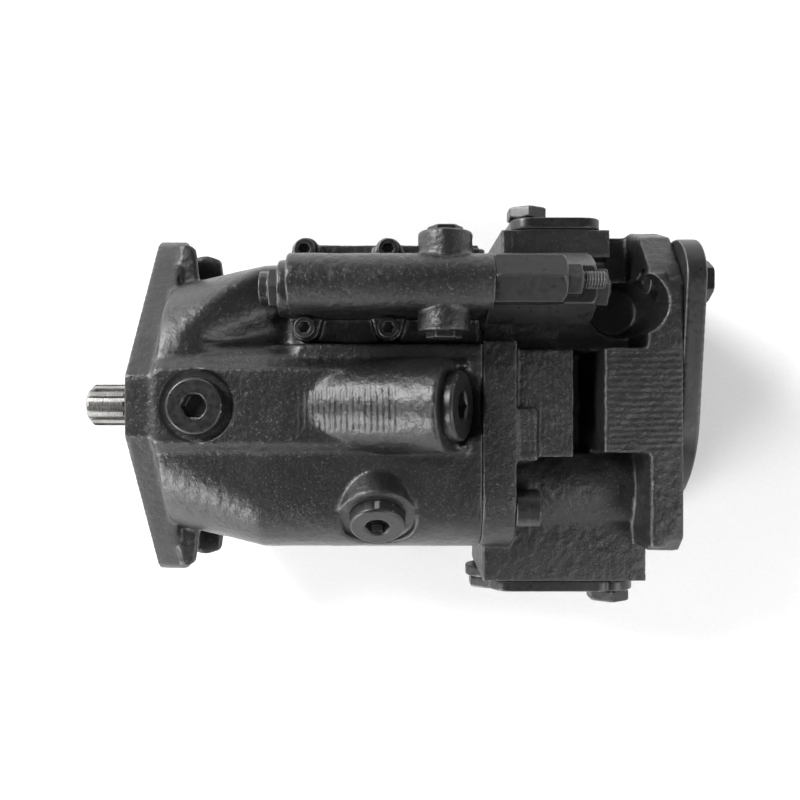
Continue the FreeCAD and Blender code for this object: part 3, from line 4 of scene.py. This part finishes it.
import bmesh
import bpy
import numpy as np
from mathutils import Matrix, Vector


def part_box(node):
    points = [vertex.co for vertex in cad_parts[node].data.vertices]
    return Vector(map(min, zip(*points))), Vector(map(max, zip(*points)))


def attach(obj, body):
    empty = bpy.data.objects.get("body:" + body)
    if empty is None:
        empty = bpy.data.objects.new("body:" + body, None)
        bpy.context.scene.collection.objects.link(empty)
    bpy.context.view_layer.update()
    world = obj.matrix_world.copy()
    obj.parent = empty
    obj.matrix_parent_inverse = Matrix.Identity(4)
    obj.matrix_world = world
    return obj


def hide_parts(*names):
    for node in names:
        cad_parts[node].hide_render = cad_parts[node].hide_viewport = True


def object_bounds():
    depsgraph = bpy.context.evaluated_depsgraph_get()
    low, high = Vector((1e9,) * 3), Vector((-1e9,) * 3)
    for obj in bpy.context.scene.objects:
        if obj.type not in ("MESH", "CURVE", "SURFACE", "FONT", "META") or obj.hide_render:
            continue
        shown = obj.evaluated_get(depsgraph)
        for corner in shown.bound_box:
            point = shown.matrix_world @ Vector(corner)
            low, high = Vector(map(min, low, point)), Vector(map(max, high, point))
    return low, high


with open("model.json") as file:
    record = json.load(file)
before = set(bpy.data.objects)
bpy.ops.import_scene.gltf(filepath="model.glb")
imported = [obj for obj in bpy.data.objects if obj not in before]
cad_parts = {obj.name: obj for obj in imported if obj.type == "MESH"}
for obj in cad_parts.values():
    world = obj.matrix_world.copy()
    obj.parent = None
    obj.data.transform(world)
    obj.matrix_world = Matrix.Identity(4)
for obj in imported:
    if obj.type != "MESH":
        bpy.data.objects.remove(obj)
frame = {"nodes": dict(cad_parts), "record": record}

# Axial piston pump.  The frame is the CAD model's: +X runs rearwards along the shaft, +Y points to the
# pressure port and +Z to the control valve.  Meshes, lights and the camera are in metres.  The masks and cuts
# of the castings are written in millimetres, and MM turns those into metres.
MM = 0.001

cad_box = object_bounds()

record = frame["record"]
node_body = {node: body for body, nodes in record["behaviour"]["bodies"].items() for node in nodes}
node_slot = {part["node"]: part["material_slot"] for part in record["subparts"]}


# ----------------------------------------------------------------------------------------------------------
# Materials
# ----------------------------------------------------------------------------------------------------------
class Shader:
    """A material's node tree with short calls for the nodes used here."""

    def __init__(self, name):
        self.material = bpy.data.materials.new(name)
        self.material.use_nodes = True
        self.tree = self.material.node_tree
        self.surface = self.tree.nodes["Principled BSDF"]
        self.where = self.tree.nodes.new("ShaderNodeTexCoord").outputs["Object"]

    def add(self, kind, **inputs):
        """A node with some of its inputs set or linked."""
        node = self.tree.nodes.new(kind)
        for key, value in inputs.items():
            self.feed(node.inputs[key.replace("_", " ")], value)
        return node

    def feed(self, socket, value):
        """Link an output to a socket, or set the socket's value."""
        if isinstance(value, bpy.types.NodeSocket):
            self.tree.links.new(value, socket)
        else:
            socket.default_value = value

    def noise(self, scale, detail=4.0, roughness=0.55, where=None):
        """Fractal noise between 0 and 1; scale is in features per metre."""
        node = self.add("ShaderNodeTexNoise", Scale=scale, Detail=detail, Roughness=roughness,
                        Vector=where or self.where)
        return node.outputs["Fac"]

    def stretched(self, factors):
        """The object's coordinates scaled by a factor on each axis, for marks that run one way."""
        node = self.add("ShaderNodeVectorMath", Vector=self.where)
        node.operation = "MULTIPLY"
        node.inputs[1].default_value = factors
        return node.outputs[0]

    def ramp(self, value, low, high, from_value=0.0, to_value=1.0):
        """A value mapped from one range to another and clamped."""
        node = self.add("ShaderNodeMapRange", Value=value)
        node.inputs["From Min"].default_value = low
        node.inputs["From Max"].default_value = high
        node.inputs["To Min"].default_value = from_value
        node.inputs["To Max"].default_value = to_value
        return node.outputs[0]

    def blend(self, factor, first, second):
        """Two colours mixed by a factor."""
        node = self.tree.nodes.new("ShaderNodeMix")
        node.data_type = "RGBA"
        self.feed(node.inputs["Factor"], factor)
        for socket, value in ((node.inputs[6], first), (node.inputs[7], second)):
            self.feed(socket, value if isinstance(value, bpy.types.NodeSocket) else (*value, 1.0))
        return node.outputs[2]

    def bump(self, height, distance, below=None):
        """A bump of a height in metres, laid over another."""
        node = self.add("ShaderNodeBump", Height=height, Distance=distance)
        if below:
            self.feed(node.inputs["Normal"], below)
        return node.outputs[0]

    def worn_edges(self, low=0.53, high=0.62):
        """1 on sharp outer edges, 0 elsewhere."""
        point = self.add("ShaderNodeNewGeometry").outputs["Pointiness"]
        return self.ramp(point, low, high)

    def done(self, colour, roughness, normal=None, metallic=0.0, **fixed):
        """Feed the surface and return the material."""
        if isinstance(colour, bpy.types.NodeSocket):
            self.feed(self.surface.inputs["Base Color"], colour)
        else:
            self.surface.inputs["Base Color"].default_value = (*colour, 1.0)
        self.feed(self.surface.inputs["Roughness"], roughness)
        self.surface.inputs["Metallic"].default_value = metallic
        if normal:
            self.feed(self.surface.inputs["Normal"], normal)
        for key, value in fixed.items():
            self.surface.inputs[key.replace("_", " ")].default_value = value
        return self.material


def grey(level):
    """A neutral colour."""
    return (level, level, level)


def cast_paint(name, grain_height):
    """Semi-gloss black paint over a rough sand casting, greyer where the paint is thin on the edges."""
    deep_black = (0.004, 0.004, 0.0042)
    dull_black = (0.011, 0.011, 0.0113)
    s = Shader(name)
    grain = s.noise(1000.0, detail=4.0, roughness=0.6)
    lumps = s.noise(260.0, detail=3.0)
    patches = s.noise(32.0, detail=3.0)
    base = s.blend(s.ramp(patches, 0.35, 0.68), deep_black, dull_black)
    specks = s.blend(s.ramp(grain, 0.6, 0.74), base, grey(0.09))
    colour = s.blend(s.worn_edges(), specks, grey(0.2))
    normal = s.bump(lumps, 0.3 * MM)
    normal = s.bump(grain, grain_height, below=normal)
    roughness = s.ramp(grain, 0.3, 0.75, from_value=0.29, to_value=0.46)
    return s.done(colour, roughness, normal, Specular_IOR_Level=0.6)


def machined_paint():
    """Thin black paint over turned and milled steel."""
    deep_black = (0.007, 0.007, 0.0075)
    dull_black = (0.014, 0.014, 0.0145)
    s = Shader("black_machined_paint")
    film = s.noise(420.0, detail=4.0)
    dust = s.noise(2400.0, detail=3.0)
    base = s.blend(s.ramp(film, 0.35, 0.7), deep_black, dull_black)
    colour = s.blend(s.worn_edges(low=0.515, high=0.58), base, grey(0.14))
    normal = s.bump(film, 0.05 * MM)
    normal = s.bump(dust, 0.02 * MM, below=normal)
    roughness = s.ramp(film, 0.3, 0.7, from_value=0.26, to_value=0.42)
    return s.done(colour, roughness, normal, Specular_IOR_Level=0.5)


def machined_steel():
    """Ground steel with fine marks round the shaft's axis."""
    clean_steel = (0.34, 0.335, 0.325)
    stained_steel = (0.2, 0.195, 0.19)
    s = Shader("ground_steel")
    marks = s.noise(300.0, detail=5.0, roughness=0.7, where=s.stretched((14.0, 1.0, 1.0)))
    stain = s.noise(120.0, detail=3.0)
    colour = s.blend(s.ramp(stain, 0.3, 0.75), clean_steel, stained_steel)
    roughness = s.ramp(marks, 0.3, 0.7, from_value=0.2, to_value=0.4)
    return s.done(colour, roughness, s.bump(marks, 0.02 * MM), metallic=1.0)


def bare_iron():
    """Machined bare cast iron with turning marks round the shaft's axis."""
    dark_iron = (0.24, 0.24, 0.25)
    s = Shader("machined_iron")
    marks = s.noise(500.0, detail=4.0, roughness=0.6, where=s.stretched((6.0, 1.0, 1.0)))
    colour = s.blend(s.ramp(marks, 0.3, 0.7), dark_iron, grey(0.36))
    roughness = s.ramp(marks, 0.3, 0.7, from_value=0.35, to_value=0.5)
    return s.done(colour, roughness, s.bump(marks, 0.02 * MM), metallic=1.0)


def bronze():
    """Machined bearing bronze."""
    dark_bronze = (0.55, 0.35, 0.14)
    bright_bronze = (0.7, 0.48, 0.22)
    s = Shader("bearing_bronze")
    marks = s.noise(600.0, detail=4.0)
    colour = s.blend(s.ramp(marks, 0.3, 0.7), dark_bronze, bright_bronze)
    roughness = s.ramp(marks, 0.3, 0.7, from_value=0.28, to_value=0.42)
    return s.done(colour, roughness, s.bump(marks, 0.02 * MM), metallic=1.0)


def rubber():
    """Moulded nitrile rubber."""
    s = Shader("moulded_rubber")
    skin = s.noise(1800.0, detail=3.0)
    colour = s.blend(s.ramp(skin, 0.3, 0.7), grey(0.015), grey(0.03))
    roughness = s.ramp(skin, 0.3, 0.7, from_value=0.5, to_value=0.7)
    return s.done(colour, roughness, s.bump(skin, 0.03 * MM))


def fibre():
    """Compressed fibre sheet."""
    dark_fibre = (0.05, 0.06, 0.05)
    pale_fibre = (0.11, 0.12, 0.1)
    s = Shader("fibre_sheet")
    weave = s.noise(1500.0, detail=6.0, roughness=0.7)
    colour = s.blend(s.ramp(weave, 0.3, 0.7), dark_fibre, pale_fibre)
    return s.done(colour, roughness=0.85, normal=s.bump(weave, 0.05 * MM))


def floor_paper():
    """Matt white paper."""
    s = Shader("white_paper")
    pulp = s.noise(500.0, detail=3.0)
    colour = s.blend(s.ramp(pulp, 0.3, 0.7), grey(0.9), grey(0.93))
    return s.done(colour, roughness=0.9, normal=s.bump(pulp, 0.01 * MM))


finish = {
    "black_cast_iron": cast_paint("black_cast_paint", grain_height=0.19 * MM),
    "black_steel": machined_paint(),
    "machined_steel": machined_steel(),
    "bare_cast_iron": bare_iron(),
    "bronze": bronze(),
    "rubber": rubber(),
    "gasket_fibre": fibre(),
}
rough_cast = cast_paint("black_rough_cast_paint", grain_height=0.28 * MM)

for node, item in frame["nodes"].items():
    for material_slot in item.material_slots:
        material_slot.material = finish[node_slot[node]]


# ----------------------------------------------------------------------------------------------------------
# Mesh work: CAD shapes made again with rounded edges and cast surfaces
# ----------------------------------------------------------------------------------------------------------
RELAX_STRENGTH = 0.5       # share of the way to the neighbours' middle that one round goes
CRISP_ROUNDS = 2           # rounds that only take the voxels' steps off a casting
WIDE_ROUNDS = 60           # rounds that melt a casting's edges into one wide slope
SOFT_ROUNDS = 3            # rounds that break the edges of a machined part

# Sand-cast unevenness: lump sizes and the height of the widest lumps in millimetres, and the height of the
# smallest lumps as a share of the middle ones.
SWELL_SIZE = 11.0
SWELL_HEIGHT = 0.18
LUMP_SIZE = 2.6
GRAIN_SIZE = 1.3
GRAIN_SHARE = 0.7

# Odd multipliers that scatter a lattice corner's numbers, as in common spatial hashes.
CORNER_HASH = (73856093, 19349663, 83492791)
SEED_HASH = 2654435761
MIXING_HASH = 1274126177
LOW_BITS = 65535


def remeshed(mesh, voxel):
    """A mesh made again with even faces of a voxel's size."""
    work = bpy.data.objects.new("work", mesh)
    bpy.context.scene.collection.objects.link(work)
    modifier = work.modifiers.new("voxels", "REMESH")
    modifier.mode = "VOXEL"
    modifier.voxel_size = voxel
    graph = bpy.context.evaluated_depsgraph_get()
    result = bpy.data.meshes.new_from_object(work.evaluated_get(graph))
    bpy.data.objects.remove(work)
    return result


def points_of(mesh):
    """The vertices of a mesh as rows of metres."""
    flat = np.zeros(len(mesh.vertices) * 3)
    mesh.vertices.foreach_get("co", flat)
    return flat.reshape(-1, 3)


def set_points(mesh, points):
    """Write rows of metres back to a mesh."""
    mesh.vertices.foreach_set("co", points.ravel())
    mesh.update()


def relax(mesh, points, rounds):
    """Move every vertex towards the middle of its neighbours, several times over."""
    flat = np.zeros(len(mesh.edges) * 2, dtype=np.int64)
    mesh.edges.foreach_get("vertices", flat)
    start, end = flat.reshape(-1, 2).T
    count = len(points)
    around = np.bincount(start, minlength=count) + np.bincount(end, minlength=count)
    around = np.maximum(around, 1)[:, None]
    for _ in range(rounds):
        total = np.zeros_like(points)
        for axis in range(3):
            total[:, axis] = np.bincount(start, points[end, axis], count)
            total[:, axis] += np.bincount(end, points[start, axis], count)
        points = points + RELAX_STRENGTH * (total / around - points)
    return points


def normals_of(mesh):
    """The vertex normals of a mesh."""
    flat = np.zeros(len(mesh.vertices) * 3)
    mesh.vertices.foreach_get("normal", flat)
    return flat.reshape(-1, 3)


def step(value, low, high):
    """A smooth rise from 0 at low to 1 at high."""
    t = np.clip((value - low) / (high - low), 0.0, 1.0)
    return t * t * (3.0 - 2.0 * t)


def inside(value, low, high, soft):
    """About 1 between low and high and 0 outside, with soft ends."""
    return step(value, low - soft, low + soft) * (1.0 - step(value, high - soft, high + soft))


def lattice_noise(points, size, seed):
    """Smooth seeded noise between -1 and 1 with lumps of a given size."""
    scaled = points / size
    corner = np.floor(scaled).astype(np.int64)
    part = scaled - corner
    part = part * part * (3.0 - 2.0 * part)
    total = np.zeros(len(points))
    for dx in (0, 1):
        for dy in (0, 1):
            for dz in (0, 1):
                x, y, z = ((corner + (dx, dy, dz)) * CORNER_HASH).T
                mixed = x ^ y ^ z ^ (seed * SEED_HASH)
                mixed = (mixed ^ (mixed >> 13)) * MIXING_HASH
                value = ((mixed ^ (mixed >> 16)) & LOW_BITS) / (LOW_BITS / 2.0) - 1.0
                nearness = np.abs(np.array((1 - dx, 1 - dy, 1 - dz)) - part)
                total += value * (nearness[:, 0] * nearness[:, 1] * nearness[:, 2])
    return total


def finish_piece(name, mesh, material, replaced):
    """A visual piece, smooth shaded, that stands for CAD nodes and rides on the first one's body."""
    body = node_body[replaced[0]]
    mesh.materials.clear()
    mesh.materials.append(material)
    mesh.name = name
    mesh.shade_smooth()
    piece = bpy.data.objects.new(name, mesh)
    bpy.context.scene.collection.objects.link(piece)
    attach(piece, body)
    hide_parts(*replaced)


def softened(node, voxel):
    """A machined CAD part made again with slightly rounded edges."""
    mesh = remeshed(frame["nodes"][node].data.copy(), voxel)
    set_points(mesh, relax(mesh, points_of(mesh), SOFT_ROUNDS))
    finish_piece("soft_" + node, mesh, finish[node_slot[node]], [node])


def joined(nodes):
    """The meshes of several CAD nodes as one mesh."""
    builder = bmesh.new()
    for node in nodes:
        builder.from_mesh(frame["nodes"][node].data)
    mesh = bpy.data.meshes.new("joined")
    builder.to_mesh(mesh)
    builder.free()
    return mesh


def casting(nodes, material, voxel, rounds, rough_height, machined, shape=None, marks=None, blended=None):
    """A casting made again from its CAD nodes, with fillets, shaped surfaces and sand-cast unevenness.

    shape moves the points before the fillets, marks gives the depth of marks cut after them, and machined
    and blended are masks: 1 where the CAD surface stays true, and 1 where edges melt into a wide slope.
    """
    mesh = remeshed(joined(nodes), voxel)
    crisp = relax(mesh, points_of(mesh), CRISP_ROUNDS)
    if shape:
        crisp = shape(crisp)
    soft = relax(mesh, crisp, rounds)
    if blended:
        share = blended(crisp)[:, None]
        soft = relax(mesh, soft, WIDE_ROUNDS) * share + soft * (1.0 - share)
    keep = machined(crisp)[:, None]
    points = crisp * keep + soft * (1.0 - keep)
    set_points(mesh, points)
    lift = lattice_noise(points, SWELL_SIZE * MM, seed=11) * SWELL_HEIGHT * MM
    lift += lattice_noise(points, LUMP_SIZE * MM, seed=12) * rough_height
    lift += lattice_noise(points, GRAIN_SIZE * MM, seed=13) * rough_height * GRAIN_SHARE
    lift = lift * (1.0 - keep[:, 0])
    if marks:
        lift -= marks(points) * MM
    points = points + normals_of(mesh) * lift[:, None]
    set_points(mesh, points)
    finish_piece("cast_" + nodes[0], mesh, material, nodes)


# ----------------------------------------------------------------------------------------------------------
# The three castings
# ----------------------------------------------------------------------------------------------------------
DRAIN_HEAD = 13.0          # radius of a drain plug's head
DRAIN_HEAD_ABOVE = 4.5     # height of the upper drain plug's head over the spine of the case
UPPER_SIDE = (30.0, 38.0)  # heights between which a cut on the case's upper side comes in

# The planes and places of the castings, in millimetres.
mount_at = {mount["name"]: Vector(mount["pos_m"]) / MM for mount in record["mounts"]}
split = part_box("pump_housing")[1].x / MM
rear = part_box("port_plate")[1].x / MM
valve_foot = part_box("control_valve_body")[0].z / MM
valve_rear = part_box("control_valve_body")[1].x / MM
spine_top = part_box("drain_plugs")[1].z / MM - DRAIN_HEAD_ABOVE
drain_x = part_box("drain_plugs")[0].x / MM + DRAIN_HEAD
drain_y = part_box("drain_plugs")[1].y / MM - DRAIN_HEAD


def low_face(value, face, full, gone):
    """1 on a face at the low end of an axis and to a depth of full behind it, 0 from a depth of gone."""
    return 1.0 - step(value, face + full, face + gone)


def high_face(value, face, full, gone):
    """The same for a face at the high end of an axis."""
    return step(value, face - gone, face - full)


def stroking_bore(points):
    """1 on the wall of the stroking piston's bore, which stays true and a little wide of the piston."""
    wall, clear = 9.2, 10.2
    low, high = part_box("stroking_piston")
    joint = next(j for j in record["behaviour"]["joints"] if j["child"] == "stroking_piston")
    axis = np.array(joint["axis"])
    offset = points - np.array((low + high) / 2.0)
    away = np.linalg.norm(offset - np.outer(offset @ axis, axis), axis=1) / MM
    return 1.0 - step(away, wall, clear)


def grooves(across, pitch, points, seed):
    """Uneven parallel grooves between 0 and 1 deep; across runs at right angles to them."""
    wander_size, wander_share = 9.0, 0.22
    patch_size, patch_share = 3.5, 0.35
    wander = lattice_noise(points, wander_size * MM, seed) * wander_share
    wave = 0.5 + 0.5 * np.sin(2.0 * math.pi * (across / pitch + wander))
    patches = lattice_noise(points, patch_size * MM, seed + 1)
    return wave * ((1.0 - patch_share) + patch_share * patches)


def shape_housing(points):
    """The hollow between the smooth shoulder of the case and its spine, wider towards the rear."""
    x, y, z = (points / MM).T
    start, length, depth = 15.0, 52.0, 5.5
    front_end, rear_end = (15.0, 34.0), (72.0, 80.0)
    spine_side, spine_spread = 23.5, 2.0
    shoulder_side, shoulder_spread = 19.5, 24.5
    least_width = 1.0
    along = np.clip((x - start) / length, 0.0, 1.0)
    shoulder = shoulder_side + shoulder_spread * along
    spine = spine_side + spine_spread * along
    hollow = inside(y, spine, np.maximum(shoulder, spine + least_width), soft=2.5)
    hollow = hollow * step(x, *front_end) * (1.0 - step(x, *rear_end))
    return np.column_stack((x, y, z - depth * hollow * step(z, *UPPER_SIDE))) * MM


def marks_housing(points):
    """Grinding marks where the riser was taken off the spine, and room in the stroking piston's bore."""
    x, y, z = (points / MM).T
    riser_length, riser_width = (77.0, 126.0), (-11.0, 8.0)
    mark_depth, mark_pitch, bore_room = 0.55, 2.7, 0.6
    ground = inside(x, *riser_length, soft=2.0) * inside(y, *riser_width, soft=1.6)
    ground = ground * high_face(z, spine_top, full=2.0, gone=5.0)
    return mark_depth * ground * grooves(x, mark_pitch, points, seed=31) + bore_room * stroking_bore(points)


def blended_housing(points):
    """1 on the wide soft slope from the flange to the control valve."""
    x, y, z = (points / MM).T
    slope_length, slope_edge = (19.0, 66.0), (22.0, 27.0)
    return inside(x, *slope_length, soft=3.0) * step(y, *slope_edge) * step(z, *UPPER_SIDE)


def machined_housing(points):
    """1 on the flange face, the split face, the upper drain plug's spot face and the stroking bore."""
    x, y, z = (points / MM).T
    spot_edge, spot_height = (17.4, 18.2), (40.0, 42.0)
    faces = np.maximum(low_face(x, 0.0, full=0.3, gone=1.2), high_face(x, split, full=0.4, gone=1.4))
    spot = 1.0 - step(np.hypot(x - drain_x, y - drain_y), *spot_edge)
    return np.maximum(np.maximum(faces, spot * step(z, *spot_height)), stroking_bore(points))


def shape_plate(points):
    """The deep pocket beside the plate's near block, and the deep floor of the scallop."""
    x, y, z = (points / MM).T
    pocket_length, pocket_width = (rear - 48.5, rear - 38.5), (-22.0, 26.0)
    pocket_floor, pocket_depth = (22.0, 34.0), 9.0
    scallop_x, scallop_y, scallop_edge = rear - 22.0, 48.0, (12.5, 14.5)
    scallop_floor, scallop_depth = (22.0, 30.0), 11.0
    pocket = inside(x, *pocket_length, soft=1.2) * inside(y, *pocket_width, soft=2.0)
    pocket = pocket * inside(z, *pocket_floor, soft=2.0)
    scallop = 1.0 - step(np.hypot(x - scallop_x, y - scallop_y), *scallop_edge)
    depth = pocket_depth * pocket + scallop_depth * scallop * inside(z, *scallop_floor, soft=2.0)
    return np.column_stack((x, y, z - depth)) * MM


def marks_plate(points):
    """The long cast marks on the panel and the cross marks on the near block."""
    x, y, z = (points / MM).T
    panel_front, panel_width, panel_top = (rear - 36.0, rear - 34.0), (-21.0, 26.0), (54.5, 56.0)
    block_length, block_width, block_top = (split + 17.0, split + 42.0), (-23.0, 26.0), (49.5, 51.0)
    long_depth, long_pitch = 0.4, 2.9
    cross_depth, cross_pitch = 0.35, 2.6
    panel = step(x, *panel_front) * inside(y, *panel_width, soft=2.0) * step(z, *panel_top)
    block = inside(x, *block_length, soft=1.0) * inside(y, *block_width, soft=2.0) * step(z, *block_top)
    long_marks = long_depth * panel * grooves(y, long_pitch, points, seed=41)
    cross_marks = cross_depth * block * grooves(x, cross_pitch, points, seed=43)
    return long_marks + cross_marks


def machined_plate(points):
    """1 on the port plate's split face, port faces and rear face."""
    x, y, z = (points / MM).T
    rear_pad = (rear - 18.0, rear - 16.0)
    ends = np.maximum(low_face(x, split, full=0.4, gone=1.2), high_face(x, rear, full=0.4, gone=1.2))
    pressure = high_face(y, mount_at["pressure_port"].y, full=0.2, gone=1.0)
    pressure = pressure * (1.0 - step(x, *rear_pad))
    suction = low_face(y, mount_at["suction_port"].y, full=0.2, gone=1.0)
    return np.maximum(ends, np.maximum(pressure, suction))


def machined_valve(points):
    """1 on the control valve's foot and on the face that carries its caps."""
    x, y, z = (points / MM).T
    foot = low_face(z, valve_foot, full=0.5, gone=1.1)
    return np.maximum(foot, high_face(x, valve_rear, full=0.4, gone=1.2))


casting(["pump_housing", "flange_ears"], finish["black_cast_iron"], voxel=0.85 * MM, rounds=7,
        rough_height=0.09 * MM, machined=machined_housing, shape=shape_housing, marks=marks_housing,
        blended=blended_housing)
casting(["port_plate"], rough_cast, voxel=0.8 * MM, rounds=5,
        rough_height=0.16 * MM, machined=machined_plate, shape=shape_plate, marks=marks_plate)
casting(["control_valve_body"], finish["black_cast_iron"], voxel=0.6 * MM, rounds=6,
        rough_height=0.11 * MM, machined=machined_valve)


# ----------------------------------------------------------------------------------------------------------
# Machined parts seen from outside
# ----------------------------------------------------------------------------------------------------------
# Voxel sizes in millimetres, each small enough for the part's finest detail.
VOXEL_SIZES = {
    "drain_plugs": 0.32,
    "stroking_cylinder_plug": 0.32,
    "port_plate_screws": 0.35,
    "control_valve_screws": 0.25,
    "spool_end_plugs": 0.3,
    "valve_port_plugs": 0.28,
    "spring_cap_flow": 0.35,
    "spring_cap_pressure": 0.4,
    "lock_nuts": 0.3,
    "pressure_port_cover": 0.5,
    "suction_port_cover": 0.5,
    "port_cover_bolts": 0.35,
    "rear_cover": 0.6,
    "rear_cover_bolts": 0.35,
}

for node, voxel_size in VOXEL_SIZES.items():
    softened(node, voxel_size * MM)


# ----------------------------------------------------------------------------------------------------------
# Threads of the adjusting screws
# ----------------------------------------------------------------------------------------------------------
def ring_strip(shape, near, far):
    """Faces between two rings of equally many corners."""
    for k in range(len(near)):
        after = (k + 1) % len(near)
        shape.faces.new((near[k], near[after], far[after], far[k]))


def threaded_screw(node, radius, pitch, seat_length):
    """An adjusting screw with a helical thread, a chamfered tip with a round socket, and its spring seat."""
    around = 72
    rows_per_turn = 10
    thread_depth = 0.55 * pitch
    chamfer_depth, chamfer_slope = 1.1 * MM, 0.9
    socket_radius, socket_depth = radius * 0.5, 3.0 * MM
    low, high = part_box(node)
    start, end = low.x, high.x
    centre_y, centre_z = (low.y + high.y) / 2.0, (low.z + high.z) / 2.0
    seat_radius = (high.y - low.y) / 2.0
    rows = int((end - start) / pitch * rows_per_turn)

    def screw_radius(x, share_of_turn):
        """The screw's radius at a distance along it and a share of a turn round it."""
        if x - start < seat_length:
            return seat_radius
        tooth = abs(((x / pitch + share_of_turn) % 1.0) * 2.0 - 1.0)
        chamfer = radius - chamfer_depth + (end - x) * chamfer_slope
        return min(radius - thread_depth * (1.0 - tooth), chamfer)

    def corner(x, r, k):
        """A new corner of the mesh, the k-th of a ring."""
        turn = 2.0 * math.pi * k / around
        return shape.verts.new((x, centre_y + r * math.cos(turn), centre_z + r * math.sin(turn)))

    shape = bmesh.new()
    rings = []
    for row in range(rows + 1):
        x = start + (end - start) * row / rows
        rings.append([corner(x, screw_radius(x, k / around), k) for k in range(around)])
    for near, far in zip(rings, rings[1:]):
        ring_strip(shape, near, far)
    shape.faces.new(list(reversed(rings[0])))
    mouth, floor = [[corner(x, socket_radius, k) for k in range(around)] for x in (end, end - socket_depth)]
    ring_strip(shape, rings[-1], mouth)
    ring_strip(shape, mouth, floor)
    shape.faces.new(floor)
    bmesh.ops.recalc_face_normals(shape, faces=shape.faces)
    mesh = bpy.data.meshes.new(node + "_thread")
    shape.to_mesh(mesh)
    shape.free()
    finish_piece("threaded_" + node, mesh, finish[node_slot[node]], [node])


threaded_screw("adjuster_flow", radius=4.0 * MM, pitch=1.25 * MM, seat_length=2.0 * MM)
threaded_screw("adjuster_pressure", radius=5.0 * MM, pitch=1.5 * MM, seat_length=2.0 * MM)


# ----------------------------------------------------------------------------------------------------------
# Floor, light and camera
# ----------------------------------------------------------------------------------------------------------
def make_floor():
    """A sheet of pale paper, flat where the pump lies and swept up a long way off on every side."""
    count = 60
    reach = 3.0
    flat_radius, sweep_width, sweep_height = 1.3, 1.7, 2.2
    level = cad_box[0][2]
    places = [-reach + 2 * reach * i / count for i in range(count + 1)]

    def height(x, y):
        """The sheet's height, level at first and then rising as a parabola."""
        beyond = max(math.hypot(x, y) - flat_radius, 0.0)
        return level + sweep_height * min(beyond / sweep_width, 1.0) ** 2

    shape = bmesh.new()
    grid = [[shape.verts.new((x, y, height(x, y))) for y in places] for x in places]
    for i in range(count):
        for j in range(count):
            shape.faces.new((grid[i][j], grid[i + 1][j], grid[i + 1][j + 1], grid[i][j + 1]))
    mesh = bpy.data.meshes.new("floor")
    shape.to_mesh(mesh)
    shape.free()
    mesh.materials.append(floor_paper())
    mesh.shade_smooth()
    floor = bpy.data.objects.new("floor", mesh)
    bpy.context.scene.collection.objects.link(floor)


def soft_light(name, place, target, size, power):
    """A large soft area light that faces a point."""
    data = bpy.data.lights.new(name, "AREA")
    data.shape = "DISK"
    data.size = size
    data.energy = power
    light = bpy.data.objects.new(name, data)
    light.location = place
    light.rotation_euler = (Vector(target) - Vector(place)).to_track_quat("-Z", "Y").to_euler()
    bpy.context.scene.collection.objects.link(light)


def make_world(strength):
    """Even white light from all round."""
    world = bpy.data.worlds.new("studio")
    world.use_nodes = True
    background = world.node_tree.nodes["Background"]
    background.inputs["Color"].default_value = (1.0, 1.0, 1.0, 1.0)
    background.inputs["Strength"].default_value = strength
    bpy.context.scene.world = world


def make_camera():
    """A camera straight above the pump, over the middle of the photo's view."""
    height = 0.425
    view_width = 0.428
    view_x, view_y = 126.5 * MM, 2.7 * MM
    data = bpy.data.cameras.new("camera")
    data.angle = 2.0 * math.atan(view_width / 2.0 / height)
    camera = bpy.data.objects.new("camera", data)
    camera.location = (view_x, view_y, height)
    bpy.context.scene.collection.objects.link(camera)
    bpy.context.scene.camera = camera


middle = (0.12, 0.0, 0.0)
make_floor()
make_world(strength=0.12)
soft_light("key", (-1.5, 1.1, 1.4), middle, size=0.9, power=76.0)
soft_light("fill", (1.5, -0.9, 1.7), middle, size=1.2, power=20.0)
soft_light("side", (-1.5, -1.3, 1.1), middle, size=0.9, power=46.0)
bpy.context.scene.view_settings.view_transform = "Standard"
make_camera()
